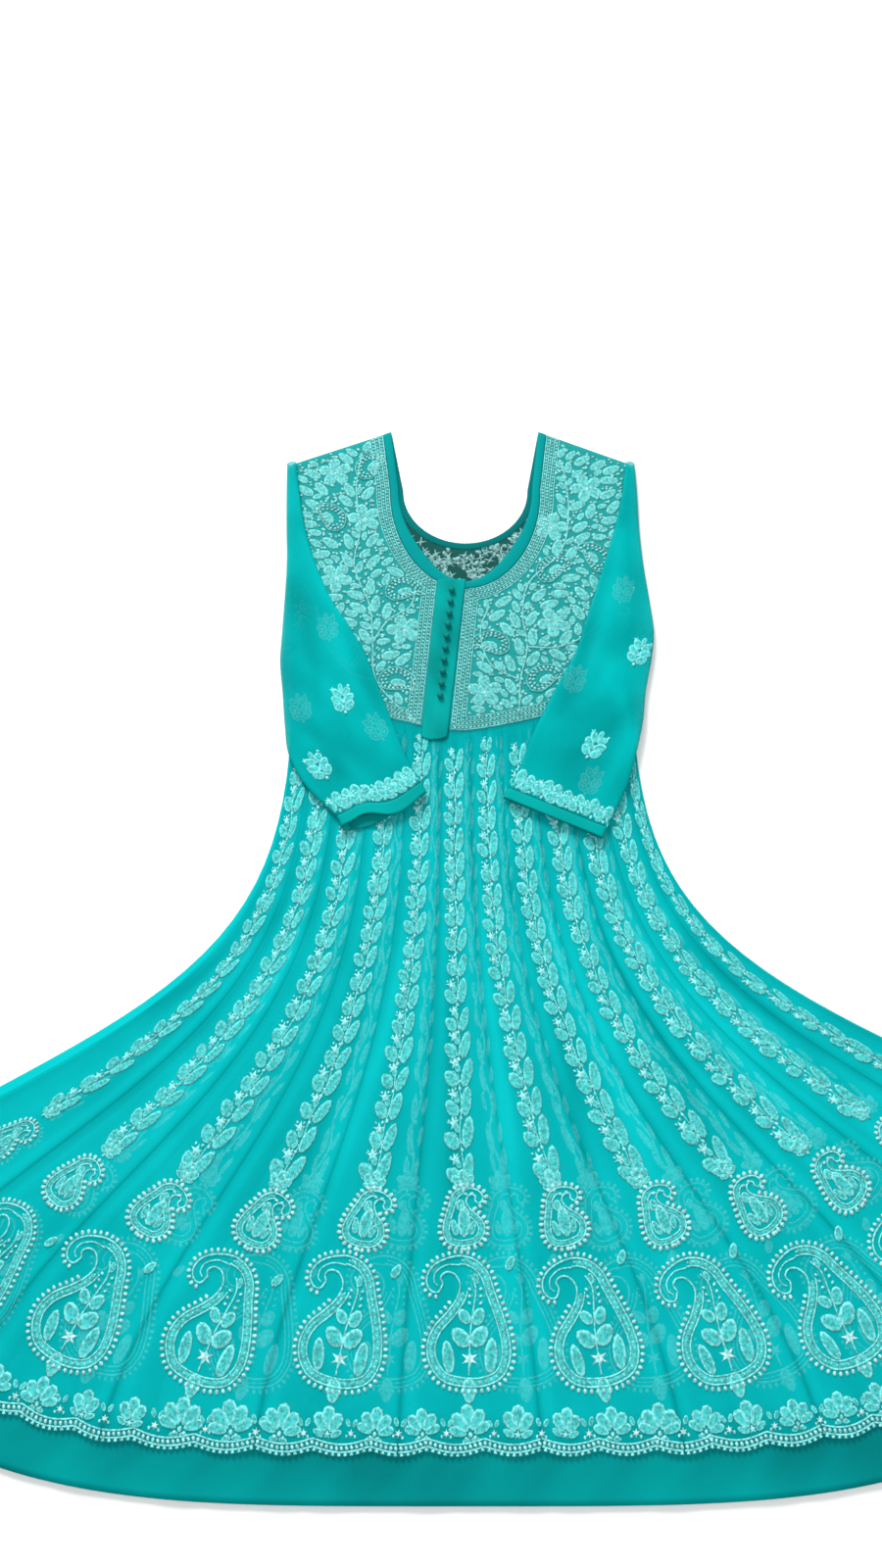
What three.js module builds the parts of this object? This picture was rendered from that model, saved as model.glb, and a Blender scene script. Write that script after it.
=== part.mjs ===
// A chikankari kurti in the anarkali cut, laid flat on its back: a fitted yoke with a buttoned placket,
// three-quarter sleeves folded down over the front, and a skirt of narrow flared gores called kalis.
// Millimetres, +Z up, the neck towards +Y. Each cut piece is a thin closed wall of its own, and the
// pieces lie on each other as the laid garment's layers do.
import * as THREE from "three";

// Cloth and the spaces between its layers
const CLOTH = 1.2;
const GAP = 0.3;
const BACK_REST = 0;
const FRONT_REST = BACK_REST + CLOTH + GAP;

// The plan is drawn from the middle of the waist seam, and this point of it is the part's origin.
const PLAN_ORIGIN = { x: 15.9, y: -180.5 };

// Waist seam and hem, as curves that rise towards the sides
const WAIST = { half: 180, rise: 45, power: 1.3 };
const HEM = { y: -697, half: 640, rise: 197, power: 4 };

// The thirteen seams of the twelve front kalis, from the wearer's right to the left.
// ridge is how high the soft fold over the seam stands, as a share of the full fold.
const KALI_SEAMS = [
  { waist_x: -180, hem_x: -625, ridge: 0.15 },
  { waist_x: -160, hem_x: -540, ridge: 0.8 },
  { waist_x: -131, hem_x: -447, ridge: 1.0 },
  { waist_x: -97, hem_x: -322, ridge: 0.85 },
  { waist_x: -60, hem_x: -186, ridge: 1.0 },
  { waist_x: -25, hem_x: -60, ridge: 0.75 },
  { waist_x: 8, hem_x: 66, ridge: 0.9 },
  { waist_x: 41, hem_x: 191, ridge: 1.0 },
  { waist_x: 75, hem_x: 314, ridge: 0.8 },
  { waist_x: 110, hem_x: 430, ridge: 1.0 },
  { waist_x: 142, hem_x: 525, ridge: 0.9 },
  { waist_x: 167, hem_x: 602, ridge: 0.7 },
  { waist_x: 180, hem_x: 655, ridge: 0.15 },
];
const KALIS = KALI_SEAMS.length - 1;

// How the kalis open out from the waist (0) to the hem (1)
const FLARE = { early: 2.2, late: 1.2 };
const SPREAD = { middle: 0.05, side: 0.142, power: 0.7 };

// Height of the folds over the seams, down the skirt
const FOLDS = [
  { at: 0, height: 0.8 },
  { at: 0.05, height: 2.8 },
  { at: 0.12, height: 3.0 },
  { at: 0.3, height: 2.0 },
  { at: 0.6, height: 1.0 },
  { at: 1, height: 1.3 },
];
const FRONT_LEVELS = [0, 0.02, 0.05, 0.1, 0.17, 0.25, 0.34, 0.43, 0.53, 0.63, 0.73, 0.83, 0.91, 0.95, 0.975, 1];
const BACK_LEVELS = [0, 0.1, 0.2, 0.3, 0.4, 0.5, 0.6, 0.7, 0.8, 0.9, 1];
const FRONT_COLUMNS = 4;
const BACK_COLUMNS = 2;

// The back lies a little askew under the front, so its seams fall between the front's in the middle,
// and it shows past the front down the wearer's right side, in direction x, y.
const BACK_SHIFT = 0.42;
const BACK_PEEK = { most: 9, power: 1.6, x: -0.64, y: 0.77 };

// Scalloped edge of the front, and the plain hem band under it
const SCALLOP = { per_kali: 2.5, depth: 5, columns: 10 };
const HEM_BAND = { under: 8, shows: 42, lift_from: 0.95, lift_to: 0.975 };

// Neck opening: half an ellipse below its centre, with straight sides up to the shoulder. pinch is how far
// the opening's own edge is drawn in between its side and its foot, as a share of its size.
const NECK = { centre_x: 4.5, centre_y: 300, shoulder_half: 84, shoulder_y: 378, steps: 12 };
const NECK_FRONT = { half: 75, depth: 118, band: 9, pinch: 0.07 };
const NECK_BACK = { half: 70, depth: 69, band: 8, pinch: 0 };

// Bodice edge from the waist up the side seam and round the armhole to the tip of the shoulder
const BODICE_EDGE = [
  { y: 45, x: 180 },
  { y: 85, x: 183 },
  { y: 120, x: 185 },
  { y: 158, x: 187 },
  { y: 182, x: 186 },
  { y: 206, x: 185.5 },
  { y: 228, x: 185 },
  { y: 250, x: 185.5 },
  { y: 270, x: 186 },
  { y: 290, x: 187 },
  { y: 334, x: 191 },
];
const YOKE_COLUMNS = 6;
const BUST = { x: 100, y: 105, half_x: 54, half_y: 95, height: 1.2 };

// Front opening, with its placket and the ten cloth-covered ball buttons
const OPENING = { top_x: -11, top_y: 183, waist_x: -29 };
const PLACKET = {
  top_y: 184,
  half_top: 15.5,
  foot_y: -10,
  half_foot: 13.5,
  foot_round: 4, // the foot's corners are cut back by this much, and its middle drops by half of it
  rows: 9,
  lift_from: 30, // below this it climbs over the waist seam, by the lift
  lift: 1.4,
};
const BUTTONS = { count: 10, first_y: 169, last_y: 41, radius: 3.4, flatness: 0.78, side: 1.5 };

// Sleeves, as flattened tubes: the inner fold lies over the bodice and the outer fold past its side.
// rest is the height of the lower layer's underside, and rest_out the same at the outer fold.
const SLEEVE_FOLD = 2.2;
const SLEEVE_RIGHT = [
  { in_x: -187, in_y: 334, out_x: -196.5, out_y: 334, rest: 3.0, rest_out: 0.6 },
  { in_x: -181, in_y: 290, out_x: -195.5, out_y: 290, rest: 3.0, rest_out: 0.6 },
  { in_x: -174, in_y: 250, out_x: -194, out_y: 250, rest: 3.0, rest_out: 0.6 },
  { in_x: -162, in_y: 206, out_x: -192, out_y: 206, rest: 3.1, rest_out: 0.6 },
  { in_x: -143, in_y: 158, out_x: -192.5, out_y: 158, rest: 3.8, rest_out: 0.6 },
  { in_x: -124, in_y: 127, out_x: -193.5, out_y: 112, rest: 4.2, rest_out: 3.2 },
  { in_x: -104, in_y: 89, out_x: -194, out_y: 80, rest: 4.4, rest_out: 3.2 },
  { in_x: -91, in_y: 55, out_x: -190, out_y: 45, rest: 4.4, rest_out: 3.4 },
  { in_x: -79, in_y: 22, out_x: -186, out_y: 6, rest: 5.6, rest_out: 5.4 },
  { in_x: -69, in_y: -5, out_x: -180, out_y: -30, rest: 6.2, rest_out: 6.2 },
  { in_x: -58, in_y: -34, out_x: -160, out_y: -66, rest: 6.2, rest_out: 6.2 },
  { in_x: -43, in_y: -60, out_x: -129, out_y: -97, rest: 6.2, rest_out: 6.2 },
];
const SLEEVE_LEFT = [
  { in_x: 187, in_y: 334, out_x: 196, out_y: 334, rest: 3.0, rest_out: 0.6 },
  { in_x: 180, in_y: 290, out_x: 197, out_y: 290, rest: 3.0, rest_out: 0.6 },
  { in_x: 171, in_y: 250, out_x: 197, out_y: 250, rest: 3.0, rest_out: 0.6 },
  { in_x: 158, in_y: 206, out_x: 199, out_y: 206, rest: 3.1, rest_out: 0.6 },
  { in_x: 143, in_y: 158, out_x: 203.5, out_y: 158, rest: 3.8, rest_out: 0.6 },
  { in_x: 132, in_y: 124, out_x: 206, out_y: 118, rest: 4.2, rest_out: 3.2 },
  { in_x: 121, in_y: 90, out_x: 202, out_y: 85, rest: 4.4, rest_out: 3.2 },
  { in_x: 104, in_y: 58, out_x: 194, out_y: 47, rest: 4.4, rest_out: 3.4 },
  { in_x: 86, in_y: 22, out_x: 188, out_y: 6, rest: 5.6, rest_out: 5.4 },
  { in_x: 70, in_y: -14, out_x: 178, out_y: -34, rest: 6.2, rest_out: 6.2 },
  { in_x: 60, in_y: -42, out_x: 168, out_y: -66, rest: 6.2, rest_out: 6.2 },
  { in_x: 47, in_y: -67, out_x: 146, out_y: -111, rest: 6.2, rest_out: 6.2 },
];
const ARMHOLE_STATIONS = 5; // the stations that open onto the armhole, counted from the shoulder
const ARMHOLE_SEAM = 0.5; // how far the sleeve's lower layer stops short of the bodice's edge
const UNDERARM_SEAM = 8; // from the outer fold, once the tube is closed
const SLEEVE_CREASES = { height: 0.5, turn: 1.9, drift: 30 };
const SLEEVE_COLUMNS = { lower: 3, upper: 6 };
const FOLD_ANGLES = [Math.PI / 4, Math.PI / 2, (3 * Math.PI) / 4];

// The plain band at the sleeve's end. wave is the share of the edge's drop that each row takes.
const SLEEVE_END_WAVE = 0.7;
const CUFF_ROWS = [
  { by: GAP, wave: 0.7 },
  { by: 6, wave: 0.85 },
  { by: 12, wave: 1 },
];

// How far the cuff's edge drops below a straight line, across it from the inner to the outer fold
const WAVE_RIGHT = [
  { at: 0, upper: 0, lower: 0 },
  { at: 0.2, upper: 8, lower: 4 },
  { at: 0.4, upper: 13, lower: 8 },
  { at: 0.58, upper: 5, lower: 11 },
  { at: 0.7, upper: -4, lower: 12 },
  { at: 0.85, upper: 1, lower: 10 },
  { at: 1, upper: 1, lower: 3 },
];
const WAVE_LEFT = [
  { at: 0, upper: 0, lower: 0 },
  { at: 0.5, upper: 0.5, lower: -2 },
  { at: 1, upper: 0, lower: 0 },
];

const material = (color, roughness) => new THREE.MeshStandardMaterial({ color, roughness, metalness: 0 });
const GEORGETTE = material(0x0ab4b1, 0.75);
const YOKE_CLOTH = material(0x58c9c0, 0.8);
const PLAIN_BAND = material(0x0c9f9a, 0.6);

const mix = (a, b, t) => a + (b - a) * t;
const lerp = (p, q, t) => p.map((c, k) => mix(c, q[k], t));
const nearer = (p, q, by) => lerp(p, q, by / Math.hypot(q[0] - p[0], q[1] - p[1]));

// Reads one column of a table whose rows are in order of another column.
function read(table, key, at, column) {
  let k = 0;
  while (k < table.length - 2 && at > table[k + 1][key]) k += 1;
  const share = (at - table[k][key]) / (table[k + 1][key] - table[k][key]);
  return mix(table[k][column], table[k + 1][column], share);
}

// A closed wall from its two faces, each a list of rows of points. Rows may differ in their count.
function wall(name, faceRows, liningRows, surface) {
  const positions = [];
  const index = [];
  const place = (rows) => rows.map((row) => row.map((p) => positions.push(...p) / 3 - 1));
  const face = place(faceRows);
  const lining = place(liningRows);
  const strip = (a, b, turned) => {
    const triangle = (p, q, r) => (turned ? index.push(p, r, q) : index.push(p, q, r));
    const [lastA, lastB] = [a.length - 1, b.length - 1];
    let i = 0;
    let j = 0;
    while (i < lastA || j < lastB) {
      const alongA = j === lastB || (i < lastA && (i + 1) * lastB <= (j + 1) * lastA);
      if (alongA) {
        triangle(a[i], a[i + 1], b[j]);
        i += 1;
      } else {
        triangle(a[i], b[j + 1], b[j]);
        j += 1;
      }
    }
  };
  const column = (rows, last) => rows.map((row) => row[last ? row.length - 1 : 0]);
  const end = face.length - 1;
  for (let k = 0; k < end; k += 1) {
    strip(face[k], face[k + 1], false);
    strip(lining[k], lining[k + 1], true);
  }
  strip(lining[0], face[0], false);
  strip(face[end], lining[end], false);
  strip(column(face, false), column(lining, false), false);
  strip(column(lining, true), column(face, true), false);
  if (volume(positions, index) < 0) index.reverse();
  const geometry = new THREE.BufferGeometry();
  geometry.setAttribute("position", new THREE.Float32BufferAttribute(positions, 3));
  geometry.setIndex(index);
  geometry.computeVertexNormals();
  const mesh = new THREE.Mesh(geometry, surface);
  mesh.name = name;
  return mesh;
}

function volume(positions, index) {
  const at = (n) => new THREE.Vector3().fromArray(positions, 3 * n);
  let six = 0;
  for (let k = 0; k < index.length; k += 3) {
    six += at(index[k]).dot(at(index[k + 1]).cross(at(index[k + 2])));
  }
  return six / 6;
}

// A flat-lying panel: its rows are the underside, and the face is one cloth above them.
function panel(name, rows, surface) {
  const face = rows.map((row) => row.map(([x, y, z]) => [x, y, z + CLOTH]));
  return wall(name, face, rows, surface);
}

// Skirt
const waistY = (x) => WAIST.rise * (Math.abs(x) / WAIST.half) ** WAIST.power;
const hemY = (x) => HEM.y + HEM.rise * (Math.abs(x) / HEM.half) ** HEM.power;

function seamValue(u, column) {
  const k = Math.min(Math.floor(u), KALIS - 1);
  return mix(KALI_SEAMS[k][column], KALI_SEAMS[k + 1][column], u - k);
}

// Plan of the skirt: u counts the kalis from one side to the other, v runs from the waist to the hem.
function skirtPlan(u, v) {
  const from = seamValue(u, "waist_x");
  const to = seamValue(u, "hem_x");
  const out = v ** FLARE.early / (v ** FLARE.early + (1 - v) ** FLARE.late);
  const side = ((2 * u) / KALIS - 1) ** 2;
  const down = v + mix(SPREAD.middle, SPREAD.side, side) * Math.sin(Math.PI * v ** SPREAD.power);
  return [mix(from, to, out), mix(waistY(from), hemY(to), down)];
}

// Where a seam or column of the front, and of the back, lies in that count
const frontU = (u) => u;
const backU = (u) => u + BACK_SHIFT * Math.sin((Math.PI * u) / KALIS);

// The waist seam's points, where the kalis' columns meet it
function waistPoints(columns, place) {
  const points = [];
  for (let c = 0; c <= KALIS * columns; c += 1) {
    const x = seamValue(place(c / columns), "waist_x");
    points.push([x, waistY(x)]);
  }
  return points;
}

// Underside of the skirt's front: a soft fold over each seam, and a lift where the hem band starts.
function frontHeight(u, v) {
  const nearest = Math.round(u);
  const fold = 0.5 + 0.5 * Math.cos(2 * Math.PI * (u - nearest));
  const lift = Math.min(Math.max((v - HEM_BAND.lift_from) / (HEM_BAND.lift_to - HEM_BAND.lift_from), 0), 1);
  const height = read(FOLDS, "at", v, "height") * KALI_SEAMS[nearest].ridge;
  return FRONT_REST + fold * height + lift * (CLOTH + GAP);
}

// Draws a row's two ends in, so that neighbouring pieces keep the seam's gap.
function seamed(row) {
  const last = row.length - 1;
  const ends = [nearer(row[0], row[1], GAP / 2), nearer(row[last], row[last - 1], GAP / 2)];
  return [ends[0], ...row.slice(1, last), ends[1]];
}

// Outward direction of the hem at x, in plan
function hemOut(x) {
  const slope = (HEM.rise * HEM.power * Math.sign(x) * Math.abs(x / HEM.half) ** (HEM.power - 1)) / HEM.half;
  return [slope / Math.hypot(slope, 1), -1 / Math.hypot(slope, 1)];
}

function frontKali(k) {
  const rows = FRONT_LEVELS.map((v) => {
    const last = v === 1;
    const columns = last ? SCALLOP.columns : FRONT_COLUMNS;
    const row = [];
    for (let c = 0; c <= columns; c += 1) {
      const u = k + c / columns;
      let [x, y] = skirtPlan(u, v);
      if (last) {
        const out = hemOut(x);
        const bulge = SCALLOP.depth * (Math.abs(Math.sin(Math.PI * SCALLOP.per_kali * u)) - 0.5);
        x += out[0] * bulge;
        y += out[1] * bulge;
      }
      row.push([x, y - (v === 0 ? GAP / 2 : 0), frontHeight(u, v)]);
    }
    return seamed(row);
  });
  return panel(`kali_front_${String(k + 1).padStart(2, "0")}`, rows, GEORGETTE);
}

function backKali(k) {
  const rows = BACK_LEVELS.map((v) => {
    const row = [];
    for (let c = 0; c <= BACK_COLUMNS; c += 1) {
      const u = backU(k + c / BACK_COLUMNS);
      const [x, y] = skirtPlan(u, v);
      const peek = BACK_PEEK.most * Math.max(1 - u, 0) * Math.sin(Math.PI * v ** BACK_PEEK.power);
      row.push([x + peek * BACK_PEEK.x, y - (v === 0 ? GAP / 2 : 0) + peek * BACK_PEEK.y, BACK_REST]);
    }
    return seamed(row);
  });
  return panel(`kali_back_${String(k + 1).padStart(2, "0")}`, rows, GEORGETTE);
}

function hemBand(name, from, rest, place) {
  const rows = [from, (from + HEM_BAND.shows) / 2, HEM_BAND.shows].map((out) => {
    const row = [];
    for (let c = 0; c <= KALIS * BACK_COLUMNS; c += 1) {
      const x = seamValue(place(c / BACK_COLUMNS), "hem_x");
      const to = hemOut(x);
      row.push([x + to[0] * out, hemY(x) + to[1] * out, rest]);
    }
    return row;
  });
  return panel(name, rows, PLAIN_BAND);
}

// Yoke
const bodiceX = (y) => read(BODICE_EDGE, "y", y, "x");

function bust(x, y) {
  const across = 1 - ((Math.abs(x) - BUST.x) / BUST.half_x) ** 2;
  const along = 1 - ((y - BUST.y) / BUST.half_y) ** 2;
  return across > 0 && along > 0 ? BUST.height * across * along : 0;
}

const SHOULDER_TIP = BODICE_EDGE[BODICE_EDGE.length - 1];
const SHOULDER_SLOPE = (NECK.shoulder_y - SHOULDER_TIP.y) / (SHOULDER_TIP.x - NECK.shoulder_half);

// Points down one side of a neck opening, round its foot and up the other, "out" away from its edge
function neckLine(neck, out, steps) {
  const side = (sign) => [
    NECK.centre_x + sign * (NECK.shoulder_half + out),
    NECK.shoulder_y - out * SHOULDER_SLOPE,
  ];
  const points = [side(-1)];
  for (let k = 0; k <= steps; k += 1) {
    const angle = Math.PI * (k / steps - 0.5);
    const drawn = 1 - neck.pinch * Math.max(1 - out / neck.band, 0) * Math.sin(2 * angle) ** 2;
    const x = NECK.centre_x + (neck.half + out) * drawn * Math.sin(angle);
    points.push([x, NECK.centre_y - (neck.depth + out) * drawn * Math.cos(angle)]);
  }
  points.push(side(1));
  return points;
}

const openingX = (y) => mix(OPENING.waist_x, OPENING.top_x, y / OPENING.top_y);

// One half of the front yoke, between the bodice's edge and the front opening with the neckline above it
function yokeFront(name, sign) {
  const neckline = neckLine(NECK_FRONT, NECK_FRONT.band + GAP, NECK.steps);
  const neck = neckline.filter(([x]) => sign * (x - OPENING.top_x) > 1);
  if (sign < 0) neck.reverse();
  const foot = NECK.centre_y - NECK_FRONT.depth - NECK_FRONT.band - GAP;
  const edgeX = (y) => openingX(y) + (sign * GAP) / 2;
  const below = BODICE_EDGE.length - neck.length - 1;
  const inner = [];
  for (let k = 0; k <= below; k += 1) inner.push([edgeX((foot * k) / below), (foot * k) / below]);
  inner.push(...neck);
  const rows = inner.map((to, k) => {
    const from = [sign * BODICE_EDGE[k].x, BODICE_EDGE[k].y];
    const row = [];
    for (let c = 0; c <= YOKE_COLUMNS; c += 1) {
      const [x, y] = lerp(from, to, c / YOKE_COLUMNS);
      row.push([x, y, FRONT_REST + bust(x, y)]);
    }
    return row;
  });
  const along = waistPoints(FRONT_COLUMNS, frontU).filter(([x]) => sign * (x - edgeX(0)) > 1);
  if (sign > 0) along.reverse();
  rows[0] = [...along, [edgeX(0), waistY(edgeX(0))]].map(([x, y]) => [x, y + GAP / 2, FRONT_REST]);
  return panel(name, rows, YOKE_CLOTH);
}

// The back yoke is one piece: it runs from the bodice's edge and the waist seam in to the neckline.
function yokeBack() {
  const left = BODICE_EDGE.slice(1).map(({ x, y }) => [x, y]);
  const right = left.map(([x, y]) => [-x, y]).reverse();
  const waist = waistPoints(BACK_COLUMNS, backU).map(([x, y]) => [x, y + GAP / 2]);
  const outer = [...right, ...waist, ...left];
  const inner = neckLine(NECK_BACK, NECK_BACK.band + GAP, outer.length - 3);
  const rows = outer.map((from, k) => {
    const row = [];
    for (let c = 0; c <= YOKE_COLUMNS; c += 1) row.push([...lerp(from, inner[k], c / YOKE_COLUMNS), BACK_REST]);
    return row;
  });
  return panel("yoke_back", rows, YOKE_CLOTH);
}

function neckBand(name, neck, rest) {
  const rows = [0, neck.band].map((out) => neckLine(neck, out, NECK.steps).map((p) => [...p, rest]));
  return panel(name, rows, PLAIN_BAND);
}

// Underside of the placket, which lies on the yoke's face and climbs over the waist seam
const placketRest = (y) => {
  const climbed = Math.min(Math.max(1 - y / PLACKET.lift_from, 0), 1);
  return FRONT_REST + CLOTH + GAP + climbed * PLACKET.lift;
};

function placket() {
  const round = PLACKET.foot_round;
  const row = (y, half, drop) => {
    const middle = openingX(y);
    const rest = placketRest(y);
    return [[middle - half, y, rest], [middle, y - drop, rest], [middle + half, y, rest]];
  };
  const rows = [];
  for (let k = 0; k <= PLACKET.rows; k += 1) {
    const y = mix(PLACKET.top_y, PLACKET.foot_y + round, k / PLACKET.rows);
    rows.push(row(y, mix(PLACKET.half_top, PLACKET.half_foot, k / PLACKET.rows), 0));
  }
  rows.push(row(PLACKET.foot_y, PLACKET.half_foot - round, round / 2));
  return panel("placket", rows, PLAIN_BAND);
}

function button(k) {
  const y = mix(BUTTONS.first_y, BUTTONS.last_y, k / (BUTTONS.count - 1));
  const x = openingX(y) + BUTTONS.side;
  const ball = new THREE.Mesh(new THREE.SphereGeometry(BUTTONS.radius, 8, 6), PLAIN_BAND);
  ball.geometry.scale(1, 1, BUTTONS.flatness).rotateZ(Math.PI / 8);
  ball.position.set(x, y, placketRest(y) + CLOTH + GAP + BUTTONS.radius * BUTTONS.flatness);
  ball.name = `button_${String(k + 1).padStart(2, "0")}`;
  return ball;
}

// Sleeves. Across a station the wall runs from the underarm seam, over the bodice to the inner fold,
// back over the top to the outer fold, and under it to the seam again.
function sleeveSection(station, armhole, edgeWave, share) {
  const { in_x, in_y, out_x, out_y, rest, rest_out } = station;
  const width = Math.hypot(out_x - in_x, out_y - in_y);
  const across = [(out_x - in_x) / width, (out_y - in_y) / width];
  const along = [across[1] * Math.sign(out_x), -across[0] * Math.sign(out_x)];
  const r = SLEEVE_FOLD;
  const low = rest + CLOTH / 2;
  const lowOut = rest_out + CLOTH / 2;
  const armX = armhole ? Math.abs(bodiceX(in_y) * Math.sign(out_x) - in_x) : 0;
  const underarm = width - UNDERARM_SEAM;
  const seam = armhole ? [armX - ARMHOLE_SEAM, armX + GAP] : [underarm - GAP / 2, underarm + GAP / 2];
  const high = (s) => mix(low, lowOut, s / width) + 2 * r;
  const path = [];
  const add = (s, z, ns, nz, layer) => path.push({ s, z, ns, nz, layer });
  const lowAt = (s) => (armhole ? low : mix(low, lowOut, s / width));
  for (let k = 0; k <= SLEEVE_COLUMNS.lower; k += 1) {
    const s = mix(seam[0], r, k / SLEEVE_COLUMNS.lower);
    add(s, lowAt(s), 0, -1, "lower");
  }
  for (const a of FOLD_ANGLES) {
    add(r - r * Math.sin(a), low + r - r * Math.cos(a), -Math.sin(a), -Math.cos(a), "upper");
  }
  for (let k = 0; k <= SLEEVE_COLUMNS.upper; k += 1) {
    const s = mix(r, width - r, k / SLEEVE_COLUMNS.upper);
    const inside = k > 0 && k < SLEEVE_COLUMNS.upper;
    const crease = inside ? Math.sin((k + in_y / SLEEVE_CREASES.drift) * SLEEVE_CREASES.turn) : 0;
    add(s, high(s) + SLEEVE_CREASES.height * crease, 0, 1, "upper");
  }
  const top = high(width - r);
  const foot = armhole ? lowOut : lowAt(width - r);
  for (const a of FOLD_ANGLES) {
    const z = mix(foot, top, 0.5 + 0.5 * Math.cos(a));
    add(width - r + r * Math.sin(a), z, Math.sin(a), Math.cos(a), "upper");
  }
  add(width - r, foot, 0, -1, "lower");
  add(seam[1], armhole ? lowOut : lowAt(seam[1]), 0, -1, "lower");
  const place = (side) =>
    path.map(({ s, z, ns, nz, layer }) => {
      const at = Math.min(Math.max(s / width, 0), 1);
      const drop = edgeWave ? share * read(edgeWave, "at", at, layer) : 0;
      const out = s + (side * ns * CLOTH) / 2;
      return [
        in_x + across[0] * out + along[0] * drop,
        in_y + across[1] * out + along[1] * drop,
        z + (side * nz * CLOTH) / 2,
      ];
    });
  return { face: place(1), lining: place(-1) };
}

function sleeve(name, stations, edgeWave) {
  const last = stations.length - 1;
  const sections = stations.map((station, k) => {
    return sleeveSection(station, k < ARMHOLE_STATIONS, k === last ? edgeWave : null, SLEEVE_END_WAVE);
  });
  return wall(name, sections.map((s) => s.face), sections.map((s) => s.lining), GEORGETTE);
}

// The plain band sewn round the sleeve's end
function cuff(name, stations, edgeWave) {
  const end = stations[stations.length - 1];
  const width = Math.hypot(end.out_x - end.in_x, end.out_y - end.in_y);
  const sign = Math.sign(end.out_x);
  const down = [((end.out_y - end.in_y) / width) * sign, (-(end.out_x - end.in_x) / width) * sign];
  const moved = (by) => ({
    ...end,
    in_x: end.in_x + down[0] * by,
    in_y: end.in_y + down[1] * by,
    out_x: end.out_x + down[0] * by,
    out_y: end.out_y + down[1] * by,
  });
  const rows = CUFF_ROWS.map(({ by, wave }) => sleeveSection(moved(by), false, edgeWave, wave));
  return wall(name, rows.map((s) => s.face), rows.map((s) => s.lining), PLAIN_BAND);
}

// The whole garment
const kurti = new THREE.Group();
for (let k = 0; k < KALIS; k += 1) kurti.add(frontKali(k), backKali(k));
kurti.add(hemBand("hem_band_front", -HEM_BAND.under, FRONT_REST, frontU));
kurti.add(hemBand("hem_band_back", GAP, BACK_REST, backU));
kurti.add(yokeFront("yoke_front_right", -1), yokeFront("yoke_front_left", 1), yokeBack());
kurti.add(neckBand("neck_band_front", NECK_FRONT, FRONT_REST));
kurti.add(neckBand("neck_band_back", NECK_BACK, BACK_REST));
kurti.add(placket());
for (let k = 0; k < BUTTONS.count; k += 1) kurti.add(button(k));
kurti.add(sleeve("sleeve_right", SLEEVE_RIGHT, WAVE_RIGHT), cuff("cuff_band_right", SLEEVE_RIGHT, WAVE_RIGHT));
kurti.add(sleeve("sleeve_left", SLEEVE_LEFT, WAVE_LEFT), cuff("cuff_band_left", SLEEVE_LEFT, WAVE_LEFT));
kurti.position.set(-PLAN_ORIGIN.x, -PLAN_ORIGIN.y, 0);

export default kurti;
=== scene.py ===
import math
import random

import bmesh
import bpy
import numpy as np
from mathutils.bvhtree import BVHTree
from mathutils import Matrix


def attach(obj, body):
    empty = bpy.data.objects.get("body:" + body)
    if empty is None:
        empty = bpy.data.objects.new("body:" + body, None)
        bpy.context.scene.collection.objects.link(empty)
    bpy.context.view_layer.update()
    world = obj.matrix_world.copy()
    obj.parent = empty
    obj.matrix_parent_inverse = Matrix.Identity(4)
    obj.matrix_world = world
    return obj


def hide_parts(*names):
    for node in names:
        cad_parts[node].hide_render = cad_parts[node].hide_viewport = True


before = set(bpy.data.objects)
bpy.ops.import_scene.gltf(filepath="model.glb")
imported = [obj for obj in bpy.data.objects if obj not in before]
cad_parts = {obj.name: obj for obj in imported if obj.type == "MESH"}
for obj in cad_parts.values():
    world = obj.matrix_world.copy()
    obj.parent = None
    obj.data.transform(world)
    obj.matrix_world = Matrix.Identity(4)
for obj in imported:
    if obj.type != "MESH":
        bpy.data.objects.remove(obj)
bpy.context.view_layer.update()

# The surface and the light
# The kurti lies on a plain pale floor under a large soft light from the neck's side, as in a studio,
# so that the cuffs and the scalloped hem throw their soft shadows towards the hem.
FLOOR_HALF = 3.0
FLOOR_DROP = 0.0006


def new_mesh(name, bm):
    mesh = bpy.data.meshes.new(name)
    bm.to_mesh(mesh)
    bm.free()
    return mesh


def new_object(name, data):
    thing = bpy.data.objects.new(name, data)
    bpy.context.scene.collection.objects.link(thing)
    return thing


def fill(node, values):
    """Sets a shader node's own sockets."""
    for socket, value in values.items():
        node.inputs[socket].default_value = value


def plain_floor():
    bm = bmesh.new()
    bmesh.ops.create_grid(bm, x_segments=1, y_segments=1, size=FLOOR_HALF)
    bmesh.ops.translate(bm, verts=bm.verts, vec=(0, 0, -FLOOR_DROP))
    floor = new_object("floor", new_mesh("floor", bm))
    paint = bpy.data.materials.new("floor_paint")
    paint.use_nodes = True
    fill(paint.node_tree.nodes["Principled BSDF"], {"Base Color": (0.92, 0.92, 0.915, 1), "Roughness": 0.9})
    floor.data.materials.append(paint)


def soft_light(name, place, size, power, turn):
    lamp = bpy.data.lights.new(name, "AREA")
    lamp.shape = "SQUARE"
    lamp.size = size
    lamp.energy = power
    holder = new_object(name, lamp)
    holder.location = place
    holder.rotation_euler = [math.radians(angle) for angle in turn]


plain_floor()
soft_light("window", (-0.9, 2.7, 1.9), 1.2, 135, (-56, 0, 18))
soft_light("overhead", (0.25, -1.1, 2.7), 2.2, 40, (22, 0, 13))
studio = bpy.data.worlds.new("studio")
studio.use_nodes = True
fill(studio.node_tree.nodes["Background"], {"Color": (0.96, 0.98, 1.0, 1), "Strength": 0.38})
bpy.context.scene.world = studio
bpy.context.scene.view_settings.view_transform = "Standard"

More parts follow.
